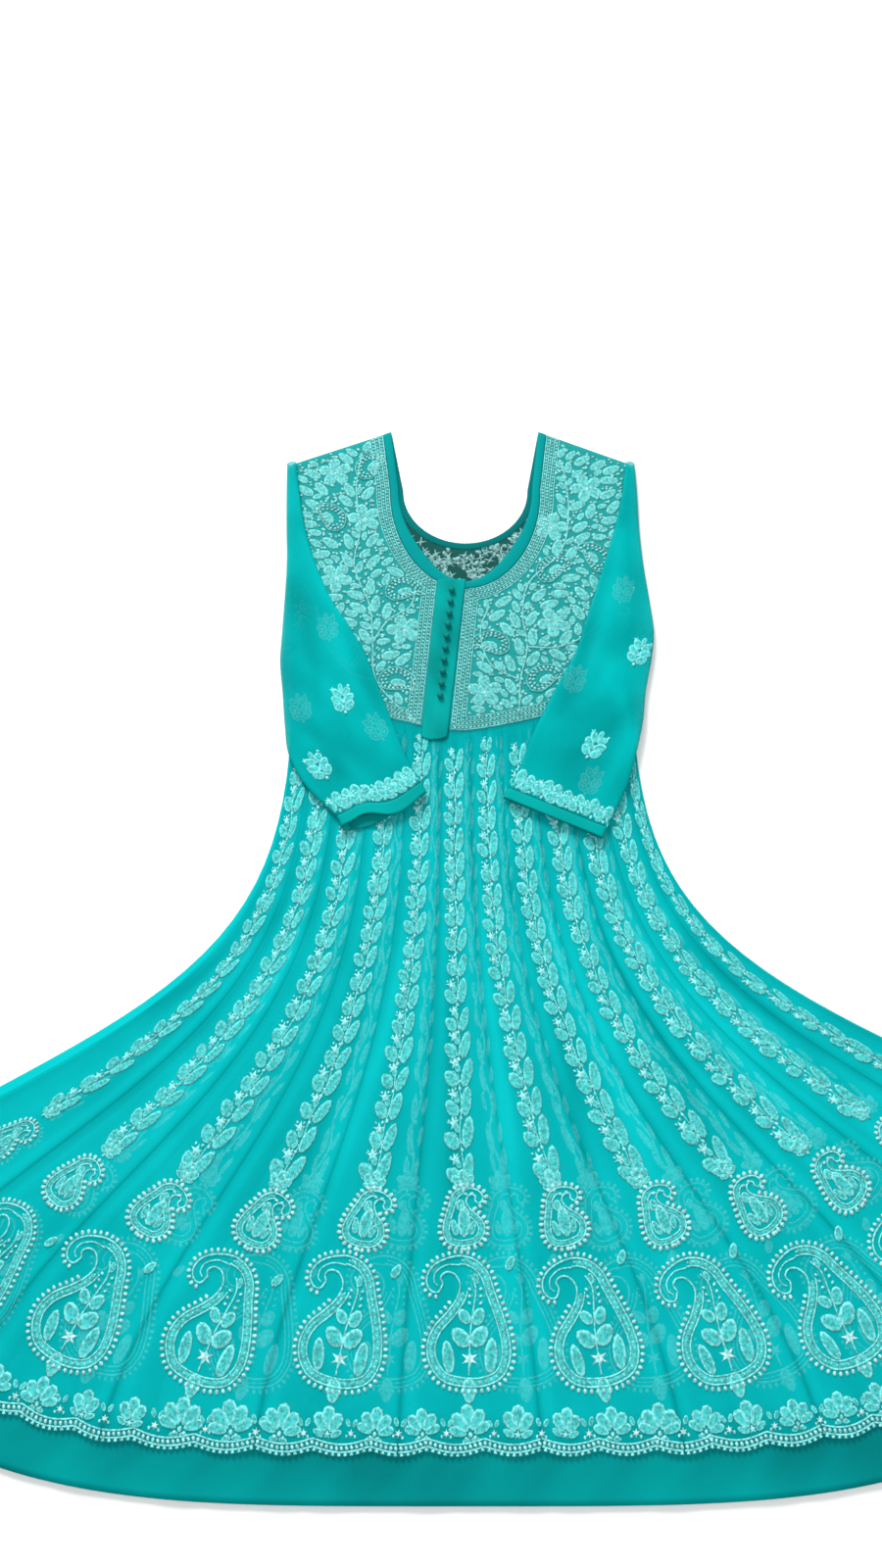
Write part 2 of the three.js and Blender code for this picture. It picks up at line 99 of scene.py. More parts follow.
# The camera stands above the hem and looks down at the photograph's angle.
CAMERA_PLACE = (-0.0386, -0.5132, 1.497)
CAMERA_TILT = math.radians(67)
camera = new_object("camera", bpy.data.cameras.new("camera"))
camera.data.lens = 36
camera.data.sensor_width = 36
camera.location = CAMERA_PLACE
camera.rotation_euler = (math.pi / 2 - CAMERA_TILT, 0, 0)
bpy.context.scene.camera = camera

# The skirt's kalis
# Twelve narrow flared gores of sheer crepe georgette in front and twelve behind, cut as long wedges and
# joined with fine seams. The front lies in a soft fold over each seam, gathered closest at the waist.
MM = 0.001
PLAN_ORIGIN = (15.9, -180.5)  # the frame's origin, in millimetres from the middle of the waist seam
CLOTH = 1.2
GAP = 0.3
FRONT_REST = CLOTH + GAP
FRONT_TOP = FRONT_REST + CLOTH
SHELL = 0.45
BACK_SHELL = 1.0
NARROWEST_SHEET = 0.0105  # metres; a narrower strip is stated with this width
WAIST = {"half": 180, "rise": 45, "power": 1.3}
HEM = {"y": -697, "half": 640, "rise": 197, "power": 4}
KALI_SEAMS = {
    "waist_x": [-180, -160, -131, -97, -60, -25, 8, 41, 75, 110, 142, 167, 180],
    "hem_x": [-625, -540, -447, -322, -186, -60, 66, 191, 314, 430, 525, 602, 655],
    "ridge": [0.15, 0.8, 1.0, 0.85, 1.0, 0.75, 0.9, 1.0, 0.8, 1.0, 0.9, 0.7, 0.15],
}
KALIS = 12
SEAM_NUMBERS = list(range(KALIS + 1))
FOLDS = {"at": [0, 0.05, 0.12, 0.3, 0.6, 1], "height": [0.8, 2.8, 3.0, 2.0, 1.0, 1.3]}
BACK_SHIFT = 0.42
BACK_PEEK = {"most": 9, "power": 1.6, "x": -0.64, "y": 0.77}
SCALLOP = {"per_kali": 2.5, "depth": 5}
HEM_BAND = {"under": 8, "shows": 42, "lift_from": 0.95, "lift_to": 0.975}

# Creases pressed into the skirt while it was folded away: from one place on the plan to another, with the
# width and the height of each, troughs being negative
SKIRT_CREASES = [
    (-52, -190, -128, -470, 9, 1.3), (-88, -240, -215, -560, 11, -1.0), (-150, -215, -330, -430, 10, 1.4),
    (-176, -190, -360, -330, 8, -0.9), (-235, -330, -420, -520, 13, 1.2), (-20, -210, -28, -610, 10, -0.9),
    (20, -260, 30, -640, 12, 1.1), (48, -160, 118, -520, 8, -1.1), (84, -210, 196, -600, 12, 1.3),
    (120, -210, 262, -520, 9, -1.0), (165, -220, 340, -470, 12, 1.3), (205, -225, 380, -400, 9, -1.1),
    (250, -300, 480, -520, 14, 1.2), (-300, -420, -520, -590, 14, -1.0), (-160, -560, -90, -660, 16, 0.9),
    (150, -640, 260, -560, 15, 0.8),
]


def on_plan(x, y, z):
    """Places in metres in the frame, from the plan's millimetres."""
    return np.column_stack([(x - PLAN_ORIGIN[0]) * MM, (y - PLAN_ORIGIN[1]) * MM, z * MM])


def waist_y(x):
    return WAIST["rise"] * (np.abs(x) / WAIST["half"]) ** WAIST["power"]


def hem_y(x):
    return HEM["y"] + HEM["rise"] * (np.abs(x) / HEM["half"]) ** HEM["power"]


def from_hem(x, y, out):
    """Places moved out of the cloth by out, square to the hem."""
    steep = HEM["rise"] * HEM["power"] * np.sign(x)
    slope = steep * np.abs(x / HEM["half"]) ** (HEM["power"] - 1) / HEM["half"]
    size = np.hypot(slope, 1)
    return x + out * slope / size, y - out / size


def seam_value(u, column):
    return np.interp(u, SEAM_NUMBERS, KALI_SEAMS[column])


def skirt_plan(u, v):
    """u counts the kalis from the wearer's right to the left, v runs from the waist to the hem."""
    start, end = seam_value(u, "waist_x"), seam_value(u, "hem_x")
    out = v**2.2 / (v**2.2 + (1 - v) ** 1.2)
    side = (2 * u / KALIS - 1) ** 2
    down = v + (0.05 + 0.092 * side) * np.sin(np.pi * v**0.7)
    top = waist_y(start)
    return start + (end - start) * out, top + (hem_y(end) - top) * down


def creased(x, y, creases):
    """Height that a table of creases adds at places on the plan: each fades at its ends and sides."""
    height = np.zeros_like(x)
    for x0, y0, x1, y1, width, rise in creases:
        length = math.hypot(x1 - x0, y1 - y0)
        ax, ay = (x1 - x0) / length, (y1 - y0) / length
        along = ((x - x0) * ax + (y - y0) * ay) / length
        across = (y - y0) * ax - (x - x0) * ay
        inside = np.clip(along, 0, 1)
        bow = 0.04 * length * np.sin(np.pi * inside)
        fade = 2 * np.sqrt(inside * (1 - inside))
        height += rise * fade * np.exp(-(((across - bow) / width) ** 2))
    return height


def front_height(u, v, x, y):
    """Top of the skirt's front: the folds over the seams, small gathers by the waist, and the creases."""
    nearest = np.round(u)
    fold = 0.5 + 0.5 * np.cos(2 * np.pi * (u - nearest))
    height = np.interp(v, FOLDS["at"], FOLDS["height"]) * seam_value(nearest, "ridge")
    lift = np.clip((v - HEM_BAND["lift_from"]) / (HEM_BAND["lift_to"] - HEM_BAND["lift_from"]), 0, 1)
    gathers = 0.5 * np.sin(2 * np.pi * (u * 2.7 + 0.6 * v)) * np.exp(-v / 0.16) * np.clip(v / 0.03, 0, 1)
    soft = creased(x, y, SKIRT_CREASES) * np.clip(v / 0.05, 0, 1) * np.clip((1 - v) / 0.05, 0, 1)
    return FRONT_TOP + fold * height + lift * (CLOTH + GAP) + gathers + np.maximum(soft, -0.9)


def skirt_layers_and_painted_shade(u, v, x, y):
    """The skirt's layer tone and painted shade: darker at each seam, lighter beside it, painted light and
    shade in streaks along the gathers and over the creases, darker over the hem band beneath and towards the
    waist.
    """
    nearest = np.round(u)
    wide = np.hypot(*np.subtract(skirt_plan(nearest + 0.5, v), skirt_plan(nearest - 0.5, v)))
    from_seam = np.abs(u - nearest) * wide
    seam = 0.2 * np.exp(-(((from_seam - 9) / 6) ** 2)) - 0.22 * np.exp(-((from_seam / 3.6) ** 2))
    # Painted light and shade: streaks along the gathered folds, and below it the creases' ridges lighter and
    # their troughs darker
    streaks = 0.14 * np.sin(2 * np.pi * (2.3 * u + 0.5 * v))
    streaks = streaks + 0.12 * np.sin(2 * np.pi * (4.1 * u - 0.8 * v) + 1.3)
    shade = seam + streaks * np.exp(-v / 0.5) + 0.3 * creased(x, y, SKIRT_CREASES)
    shade -= 0.35 * np.clip((v - 0.945) / 0.03, 0, 1)
    return shade - 0.55 * np.exp(-v / 0.045) - 0.16 * np.exp(-v / 0.2)


def path_length(place, across, along):
    return np.linalg.norm(np.diff(place(across, along), axis=0), axis=1).sum()


def cloth_panel(name, columns, rows, place, cloth, node, slot, rests_on, thickness=SHELL, drape=None):
    """A thin sheet: a grid laid out by place(across, along), both from 0 to 1, then given its thickness."""
    bm = bmesh.new()
    bmesh.ops.create_grid(bm, x_segments=columns, y_segments=rows, size=0.5)
    flat = np.array([vert.co[:2] for vert in bm.verts]) + 0.5
    for vert, spot in zip(bm.verts, place(flat[:, 0], flat[:, 1])):
        vert.co = spot
    bm.normal_update()
    highest = max(bm.faces, key=lambda face: face.calc_center_median().z)
    if highest.normal.z < 0:
        bmesh.ops.reverse_faces(bm, faces=bm.faces)
    area = sum(face.calc_area() for face in bm.faces)
    piece = new_object(name, new_mesh(name, bm))
    # Per-corner layer tone and painted light and shade, which the finish blends between its shaded and lit
    # colours
    if drape is not None:
        shading = piece.data.attributes.new("drape", "FLOAT", "POINT")
        shading.data.foreach_set("value", drape(flat[:, 0], flat[:, 1]))
    piece.data.shade_smooth()
    piece.data.materials.append(cloth)
    solid = piece.modifiers.new("thickness", "SOLIDIFY")
    solid.thickness = thickness * MM
    solid.offset = -1
    ends = np.linspace(0, 1, 60)
    width = max(*(path_length(place, ends, 0 * ends + at) for at in (0, 0.5, 1)), NARROWEST_SHEET)
    length = max(path_length(place, 0 * ends + at, ends) for at in (0, 0.5, 1))
    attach(piece, "root")
    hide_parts(node)
    return piece


def add_nodes(tree, rows):
    """Adds shader nodes, each given as (name, kind, properties, socket values)."""
    for name, kind, properties, values in rows:
        node = tree.nodes.new(kind)
        node.name = name
        for key, value in properties.items():
            setattr(node, key, value)
        fill(node, values)


def join_nodes(tree, joins):
    """Joins sockets, each pair given as "node.socket > node.socket", by the socket's name or number."""
    for join in joins:
        ends = [end.split(".") for end in join.split(" > ")]
        (start, out), (end, into) = [(tree.nodes[name], int(at) if at.isdigit() else at) for name, at in ends]
        tree.links.new(start.outputs[out], end.inputs[into])


def shader_group(name, inputs, rows, joins):
    """A shared effect that gives a colour and a height, from inputs of the kinds named."""
    group = bpy.data.node_groups.new(name, "ShaderNodeTree")
    for label, kind in inputs.items():
        group.interface.new_socket(name=label, in_out="INPUT", socket_type="NodeSocket" + kind)
    group.interface.new_socket(name="Color", in_out="OUTPUT", socket_type="NodeSocketColor")
    group.interface.new_socket(name="Height", in_out="OUTPUT", socket_type="NodeSocketFloat")
    add_nodes(group, [("entry", "NodeGroupInput", {}, {}), ("leave", "NodeGroupOutput", {}, {}), *rows])
    join_nodes(group, joins)
    return group


def grouped_finish(name, group, colours, feeds, relief, surface):
    """A finish whose group is fed by the mesh's attributes and gives the surface its colour and relief."""
    finish = bpy.data.materials.new(name)
    finish.use_nodes = True
    tree = finish.node_tree
    paints = {socket: (*colour, 1) for socket, colour in colours.items()}
    add_nodes(tree, [("group", "ShaderNodeGroup", {"node_tree": group}, paints)])
    add_nodes(tree, [("relief", "ShaderNodeBump", {}, {"Strength": relief[0], "Distance": relief[1]})])
    for attribute, out, socket in feeds:
        add_nodes(tree, [(attribute, "ShaderNodeAttribute", {"attribute_name": attribute}, {})])
        join_nodes(tree, [f"{attribute}.{out} > group.{socket}"])
    join_nodes(tree, ["group.Color > Principled BSDF.Base Color", "group.Height > relief.Height"])
    join_nodes(tree, ["relief.Normal > Principled BSDF.Normal"])
    fill(tree.nodes["Principled BSDF"], surface)
    return finish


# Grain of crepe georgette: tiny uneven pebbles from the overtwisted threads, and slow cloudy dye. The mesh's
# layer tone and painted light and shade move the blend between the shaded and the lit colour
NOISE, WAVE = "ShaderNodeTexNoise", "ShaderNodeTexWave"
RANGE, MATH, MIX = "ShaderNodeMapRange", "ShaderNodeMath", "ShaderNodeMix"
CREPE = shader_group(
    "crepe_grain",
    {"Drape": "Float", "Shade": "Color", "Light": "Color"},
    [
        ("place", "ShaderNodeTexCoord", {}, {}),
        ("pebbles", NOISE, {}, {"Scale": 1100, "Detail": 3, "Roughness": 0.65}),
        ("clouds", NOISE, {}, {"Scale": 9, "Detail": 4, "Roughness": 0.55}),
        ("spread", RANGE, {}, {"From Min": 0.3, "From Max": 0.7, "To Min": 0.2, "To Max": 0.5}),
        ("both", MATH, {"operation": "MULTIPLY_ADD"}, {1: 0.3}),
        ("layers", MATH, {"operation": "ADD"}, {}),
        ("blend", MIX, {"data_type": "RGBA"}, {}),
    ],
    [
        "place.Object > pebbles.Vector", "place.Object > clouds.Vector", "clouds.Fac > spread.Value",
        "pebbles.Fac > both.0", "spread.Result > both.2", "both.Value > layers.0", "entry.Drape > layers.1",
        "layers.Value > blend.Factor", "entry.Shade > blend.6", "entry.Light > blend.7",
        "blend.2 > leave.Color", "pebbles.Fac > leave.Height",
    ],
)


def crepe_cloth(name, shade, light, alpha, roughness=0.75, gloss=0.02):
    colours = {"Shade": shade, "Light": light}
    surface = {"Roughness": roughness, "Alpha": alpha, "Specular IOR Level": gloss}
    return grouped_finish(name, CREPE, colours, [("drape", "Fac", "Drape")], (0.2, 0.0003), surface)


GEORGETTE = crepe_cloth("georgette", (0.0, 0.38, 0.39), (0.003, 0.68, 0.70), 0.45)
BACK_GEORGETTE = crepe_cloth("georgette_back", (0.0, 0.40, 0.41), (0.002, 0.56, 0.57), 0.96)


def back_u(u):
    return u + BACK_SHIFT * np.sin(np.pi * u / KALIS)


def scalloped(u, v, x, y):
    """Moves the front's last rows out and in, so that its edge is scalloped."""
    bulge = np.clip((v - 0.98) / 0.02, 0, 1) ** 2 * SCALLOP["depth"]
    return from_hem(x, y, bulge * (np.abs(np.sin(np.pi * SCALLOP["per_kali"] * u)) - 0.5))


def front_kali(number):
    def place(across, along):
        u = number + across
        x, y = skirt_plan(u, along)
        z = front_height(u, along, x, y)
        return on_plan(*scalloped(u, along, x, y), z)

    def drape(across, along):
        return skirt_layers_and_painted_shade(number + across, along, *skirt_plan(number + across, along))

    label = f"kali_{number + 1:02d}"
    node = label.replace("kali", "kali_front")
    below = ["back_" + label]
    return cloth_panel("front_" + label, 22, 72, place, GEORGETTE, node, "georgette", below, drape=drape)


def back_kali(number):
    def place(across, along):
        u = back_u(number + across)
        x, y = skirt_plan(u, along)
        peek = BACK_PEEK["most"] * np.maximum(1 - u, 0) * np.sin(np.pi * along ** BACK_PEEK["power"])
        return on_plan(x + peek * BACK_PEEK["x"], y + peek * BACK_PEEK["y"], CLOTH + 0 * x)

    label = f"kali_{number + 1:02d}"
    node = label.replace("kali", "kali_back")
    return cloth_panel("back_" + label, 6, 32, place, BACK_GEORGETTE, node, "georgette", [], BACK_SHELL)


back_kalis = [back_kali(number) for number in range(KALIS)]
front_kalis = [front_kali(number) for number in range(KALIS)]

# The plain hem bands
# A strip of the same cloth, doubled and so darker, is sewn on under the scalloped edge of the front, and
# another carries on the back. They lie flat and show as a plain border below the embroidery.
PLAIN_BAND = crepe_cloth("plain_band", (0.0, 0.19, 0.19), (0.0, 0.31, 0.31), 0.97, 0.7, 0.03)


def hem_band(name, start, top, follow, node, rests_on, ripple):
    def place(across, along):
        x = seam_value(follow(across * KALIS), "hem_x")
        out = start + (HEM_BAND["shows"] - start) * along
        wave = ripple * along * (np.sin(x / 23.0) + 0.6 * np.sin(x / 9.7 + 2)) * np.clip(along * 3, 0, 1)
        return on_plan(*from_hem(x, hem_y(x), out), top + 0.5 * np.abs(wave))

    # Painted light and shade on the band: soft wavy patches, and a painted shadow of the scalloped edge that
    # lightens towards the band's outer edge
    def drape(across, along):
        x = seam_value(follow(across * KALIS), "hem_x")
        waves = 0.2 * np.sin(x / 37 + 2 * along) * np.sin(x / 17.0) + 0.25 * np.sin(x / 71 - along)
        return waves + 0.12 * np.sin(x / 5.3 + 9 * along) * (1 - along) + 0.5 * along - 0.3

    return cloth_panel(name, 240, 8, place, PLAIN_BAND, node, "plain_band", rests_on, drape=drape)


hem_band("back_hem_band", GAP, CLOTH, back_u, "hem_band_back", [], 0)
FRONT_BAND = "front_hem_band", -HEM_BAND["under"], FRONT_TOP
hem_band(*FRONT_BAND, lambda u: u, "hem_band_front", ["back_hem_band"], 1.0)

# The yoke
# A fitted bodice of the same georgette: two front halves that meet at the opening, and one back. The chest
# stands in a slight mound where the darts would be, and the cloth between the stitches is drawn darker as
# painted shade.
NECK = {"centre_x": 4.5, "centre_y": 300, "shoulder_half": 84, "shoulder_y": 378}
NECK_FRONT = {"half": 75, "depth": 118, "band": 9, "pinch": 0.07}
NECK_BACK = {"half": 70, "depth": 69, "band": 8, "pinch": 0}
BODICE_EDGE = {
    "y": [45, 85, 120, 158, 182, 206, 228, 250, 270, 290, 334],
    "x": [180, 183, 185, 187, 186, 185.5, 185, 185.5, 186, 187, 191],
}
BUST = {"x": 100, "y": 105, "half_x": 54, "half_y": 95, "height": 1.2}
OPENING = {"top_x": -11, "top_y": 183, "waist_x": -29}
SHOULDER_SLOPE = (NECK["shoulder_y"] - 334) / (191 - NECK["shoulder_half"])
YOKE_CREASES = [
    (-150, 300, -70, 180, 9, 0.7), (-168, 240, -120, 90, 10, -0.6), (-60, 150, -48, 40, 8, 0.6),
    (150, 290, 80, 200, 9, 0.6), (165, 220, 110, 80, 11, -0.6), (60, 150, 30, 60, 9, 0.6),
    (120, 150, 160, 60, 9, 0.5),
]
# The yoke's cloth is coloured darker as painted shade among its raised stitches
YOKE_CLOTH = crepe_cloth("yoke_cloth", (0.010, 0.23, 0.225), (0.018, 0.33, 0.32), 0.95)
# The back yoke shows only inside the neck opening, so its teal cloth is painted very dark as the shade there
YOKE_INSIDE_PAINTED_SHADE = crepe_cloth("yoke_back_cloth_painted_shade", (0.006, 0.05, 0.045), (0.012, 0.09, 0.08), 1.0)


def opening_x(y):
    return OPENING["waist_x"] + (OPENING["top_x"] - OPENING["waist_x"]) * y / OPENING["top_y"]


def bust(x, y):
    across = 1 - ((np.abs(x) - BUST["x"]) / BUST["half_x"]) ** 2
    along = 1 - ((y - BUST["y"]) / BUST["half_y"]) ** 2
    return BUST["height"] * np.maximum(across, 0) * np.maximum(along, 0)


def neck_line(neck, out, steps=48):
    """Down one side of a neck opening, round its foot and up the other, "out" away from its edge."""
    angle = np.linspace(-np.pi / 2, np.pi / 2, steps + 1)
    drawn = 1 - neck["pinch"] * max(1 - out / neck["band"], 0) * np.sin(2 * angle) ** 2
    x = NECK["centre_x"] + (neck["half"] + out) * drawn * np.sin(angle)
    y = NECK["centre_y"] - (neck["depth"] + out) * drawn * np.cos(angle)
    ends = NECK["shoulder_half"] + out
    shoulder = NECK["shoulder_y"] - out * SHOULDER_SLOPE
    line = np.column_stack([x, y])
    return np.vstack([[NECK["centre_x"] - ends, shoulder], line, [NECK["centre_x"] + ends, shoulder]])


def reach_of(line):
    """How far along a polyline each of its corners is."""
    return np.concatenate([[0], np.cumsum(np.linalg.norm(np.diff(line, axis=0), axis=1))])


def spots_on(line, reach, at):
    return np.interp(at, reach, line[:, 0]), np.interp(at, reach, line[:, 1])


def walk(line, share):
    """Places on a polyline at shares of its length."""
    reach = reach_of(line)
    return spots_on(line, reach / reach[-1], share)


def between(first, second, across, along):
    """Places across from the first line to the second, at shares along their lengths."""
    x, y = walk(first, along)
    far_x, far_y = walk(second, along)
    return x + (far_x - x) * across, y + (far_y - y) * across


def yoke_inner(sign):
    """Inner edge of a front half: up the opening and round the neckline to the shoulder."""
    foot = NECK["centre_y"] - NECK_FRONT["depth"] - NECK_FRONT["band"] - GAP
    up = np.linspace(0, foot, 12)
    neck = neck_line(NECK_FRONT, NECK_FRONT["band"] + GAP)
    neck = neck[sign * (neck[:, 0] - OPENING["top_x"]) > 1]
    if sign < 0:
        neck = neck[::-1]
    return np.vstack([np.column_stack([opening_x(up) + sign * GAP / 2, up]), neck])


def yoke_front(name, sign, node):
    inner = yoke_inner(sign)
    outer = np.column_stack([sign * np.array(BODICE_EDGE["x"]), BODICE_EDGE["y"]])

    def place(across, along):
        x, y = between(outer, inner, across, along)
        y = y + (waist_y(x) + GAP / 2 - y) * (1 - np.clip(along / 0.15, 0, 1)) ** 2
        rest = creased(x, y, YOKE_CREASES)
        return on_plan(x, y, FRONT_TOP + bust(x, y) + np.maximum(rest, -0.5))

    return cloth_panel(name, 40, 80, place, YOKE_CLOTH, node, "yoke_cloth", ["back_yoke"])


def yoke_back():
    waist = np.linspace(-WAIST["half"], WAIST["half"], 40)
    left = np.column_stack([BODICE_EDGE["x"][1:], BODICE_EDGE["y"][1:]])
    outer = np.vstack([left[::-1] * (-1, 1), np.column_stack([waist, waist_y(waist)]), left])
    inner = neck_line(NECK_BACK, NECK_BACK["band"] + GAP)

    def place(across, along):
        x, y = between(outer, inner, across, along)
        return on_plan(x, y, CLOTH + 0 * x)

    return cloth_panel("back_yoke", 30, 90, place, YOKE_INSIDE_PAINTED_SHADE, "yoke_back", "yoke_cloth", [], BACK_SHELL)


back_yoke = yoke_back()
front_yokes = [
    yoke_front("front_yoke_right", -1, "yoke_front_right"),
    yoke_front("front_yoke_left", 1, "yoke_front_left"),
]

# The neck bands and the placket
# The neck is bound with a folded strip of plain cloth, front and back. A narrow plain strip covers the
# opening down to just past the waist, where it ends in a rounded foot.
PLACKET = {"top_y": 184, "half_top": 15.5, "foot_y": -10, "half_foot": 13.5, "lift_from": 30, "lift": 1.4}
BUTTONS = {"count": 10, "first_y": 169, "last_y": 41, "radius": 3.4, "flatness": 0.78, "side": 1.5}
# The back neck band shows only inside the neck opening; its plain cloth is painted dark as the shade there
BACK_NECK_BAND_PAINTED_SHADE = crepe_cloth("back_band_painted_shade", (0.0, 0.10, 0.10), (0.0, 0.17, 0.165), 1.0, 0.7, 0.03)


def neck_band(name, neck, top, node, rests_on, cloth, roll):
    inner, outer = neck_line(neck, 0), neck_line(neck, neck["band"])

    def place(across, along):
        x, y = between(inner, outer, across, along)
        return on_plan(x, y, top + roll * np.sin(np.pi * across) ** 0.7)

    cloth_panel(name, 8, 120, place, cloth, node, "plain_band", rests_on)


def placket_rest(y):
    return FRONT_TOP + GAP + np.clip(1 - y / PLACKET["lift_from"], 0, 1) * PLACKET["lift"]


def button_places():
    y = np.linspace(BUTTONS["first_y"], BUTTONS["last_y"], BUTTONS["count"])
    return list(zip(opening_x(y) + BUTTONS["side"], y))


def placket():
    def place(across, along):
        half = PLACKET["half_top"] + (PLACKET["half_foot"] - PLACKET["half_top"]) * along
        side = 2 * across - 1
        foot = PLACKET["foot_y"] + 6 * (1 - np.sqrt(np.maximum(1 - 0.96 * side**2, 0)))
        y = PLACKET["top_y"] + (foot - PLACKET["top_y"]) * along
        x = opening_x(y) + side * half
        fold = 0.45 * np.tanh((side + 0.12) * 9)
        edge = -0.5 * np.abs(side) ** 12
        ripple = 0.18 * np.sin(y / 4.6 + 1.5 * side) * (1 - np.abs(side))
        pucker = np.zeros_like(x)
        for bx, by in button_places():
            pucker -= 0.35 * np.exp(-(((x - bx) / 7) ** 2) - (((y - by) / 3.2) ** 2))
        return on_plan(x, y, placket_rest(y) + CLOTH - 0.35 + fold + edge + ripple + pucker)

    # Painted light and shade in broad waves down the strip, and darker down the row of buttons
    def drape(across, along):
        button_row_dark = np.exp(-(((across - 0.48) / 0.2) ** 2)) * np.clip((0.8 - along) / 0.1, 0, 1)
        return 0.3 * np.sin(9 * along + 2 * across) + 0.2 * np.sin(21 * along - 4 * across) - 0.5 * button_row_dark + 0.1

    sheet = "front_placket", 24, 110, place, PLACKET_CLOTH, "placket", "plain_band", ["front_yoke_right"]
    cloth_panel(*sheet, 0.6, drape)


PLACKET_CLOTH = crepe_cloth("placket_cloth", (0.0, 0.215, 0.20), (0.0, 0.31, 0.29), 0.98, 0.7, 0.03)
neck_band("back_neck_band", NECK_BACK, CLOTH, "neck_band_back", [], BACK_NECK_BAND_PAINTED_SHADE, 0.5)
neck_band("front_neck_band", NECK_FRONT, FRONT_TOP, "neck_band_front", ["back_yoke"], PLAIN_BAND, 0.8)
placket()

# The potli buttons
# Ten small balls of cloth gathered over a hard core and tied underneath, closely spaced down the placket.
# They lie half sunk in the puckered strip, darker than it, with the gathers showing round the tie.
BUTTON_CLOTH = crepe_cloth("potli_button", (0.0, 0.135, 0.125), (0.0, 0.22, 0.205), 1.0, 0.6, 0.1)


def potli_button(number, x, y):
    radius, tall = BUTTONS["radius"], BUTTONS["radius"] * BUTTONS["flatness"]
    low = placket_rest(y) + CLOTH + GAP
    bm = bmesh.new()
    bmesh.ops.create_uvsphere(bm, u_segments=28, v_segments=16, radius=radius)
    for vert in bm.verts:
        turn = math.atan2(vert.co.y, vert.co.x)
        gathered = 1 + 0.03 * math.sin(9 * turn + number) * max(0.2 - vert.co.z / radius, 0)
        vert.co = (vert.co.x * gathered, vert.co.y * gathered, vert.co.z * BUTTONS["flatness"])
    bmesh.ops.translate(bm, verts=bm.verts, vec=(x, y, low + tall - 0.25))
    bmesh.ops.translate(bm, verts=bm.verts, vec=(-PLAN_ORIGIN[0], -PLAN_ORIGIN[1], 0))
    bmesh.ops.scale(bm, verts=bm.verts, vec=(MM, MM, MM))
    label = f"{number + 1:02d}"
    piece = new_object("potli_" + label, new_mesh("potli_" + label, bm))
    piece.data.shade_smooth()
    piece.data.materials.append(BUTTON_CLOTH)
    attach(piece, "root")
    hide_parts("button_" + label)


for number, (x, y) in enumerate(button_places()):
    potli_button(number, x, float(y))

# The sleeves and their bands
# Each sleeve is a flattened tube of the sheer georgette, folded down from the shoulder over the front, with
# its seam under the outer fold. A plain band is sewn round its end, wavy where the tube isn't smoothed out.
SLEEVE_FOLD = 2.2
STATION = ["in_x", "in_y", "out_x", "out_y", "rest", "rest_out"]
LAST_STATION = 11
REST = {
    "rest": [3.0, 3.0, 3.0, 3.1, 3.8, 4.2, 4.4, 4.4, 5.6, 6.2, 6.2, 6.2],
    "rest_out": [0.6, 0.6, 0.6, 0.6, 0.6, 3.2, 3.2, 3.4, 5.4, 6.2, 6.2, 6.2],
}
STATIONS_RIGHT = {
    "in_x": [-187, -181, -174, -162, -143, -124, -104, -91, -79, -69, -58, -43],
    "in_y": [334, 290, 250, 206, 158, 127, 89, 55, 22, -5, -34, -60],
    "out_x": [-196.5, -195.5, -194, -192, -192.5, -193.5, -194, -190, -186, -180, -160, -129],
    "out_y": [334, 290, 250, 206, 158, 112, 80, 45, 6, -30, -66, -97],
    **REST,
}
STATIONS_LEFT = {
    "in_x": [187, 180, 171, 158, 143, 132, 121, 104, 86, 70, 60, 47],
    "in_y": [334, 290, 250, 206, 158, 124, 90, 58, 22, -14, -42, -67],
    "out_x": [196, 197, 197, 199, 203.5, 206, 202, 194, 188, 178, 168, 146],
    "out_y": [334, 290, 250, 206, 158, 118, 85, 47, 6, -34, -66, -111],
    **REST,
}
ARMHOLE_STATIONS = 5
ARMHOLE_SEAM = 0.5
UNDERARM_SEAM = 8
CUFF_BAND = 12
SLEEVE_END_WAVE = 0.7
WAVE_RIGHT = {
    "at": [0, 0.2, 0.4, 0.58, 0.7, 0.85, 1],
    "upper": [0, 8, 13, 5, -4, 1, 1],
    "lower": [0, 4, 8, 11, 12, 10, 3],
}
WAVE_LEFT = {"at": [0, 0.5, 1], "upper": [0, 0.5, 0], "lower": [0, -2, 0]}
SECTION = {"under": 10, "fold": 8, "over": 36, "seam": 3}  # points on each stretch round a section
CREASES_RIGHT = [
    (-178, 250, -112, 20, 13, 1.7), (-190, 190, -150, 20, 10, -1.3), (-150, 150, -80, 0, 9, -1.2),
    (-185, 90, -95, -20, 12, 1.6), (-186, 30, -120, -60, 9, -1.3), (-120, 60, -70, -40, 8, 1.2),
    (-170, -10, -90, -70, 10, 1.4),
]
CREASES_LEFT = [
    (178, 250, 125, 40, 12, 1.6), (196, 200, 165, 40, 11, -1.3), (140, 130, 98, 10, 9, -1.1),
    (200, 110, 120, 20, 13, 1.6), (190, 40, 110, -40, 10, -1.3), (180, 0, 130, -90, 9, 1.4),
    (150, 90, 180, -40, 9, 1.1),
]
SLEEVES = {
    "right": (STATIONS_RIGHT, WAVE_RIGHT, CREASES_RIGHT),
    "left": (STATIONS_LEFT, WAVE_LEFT, CREASES_LEFT),
}


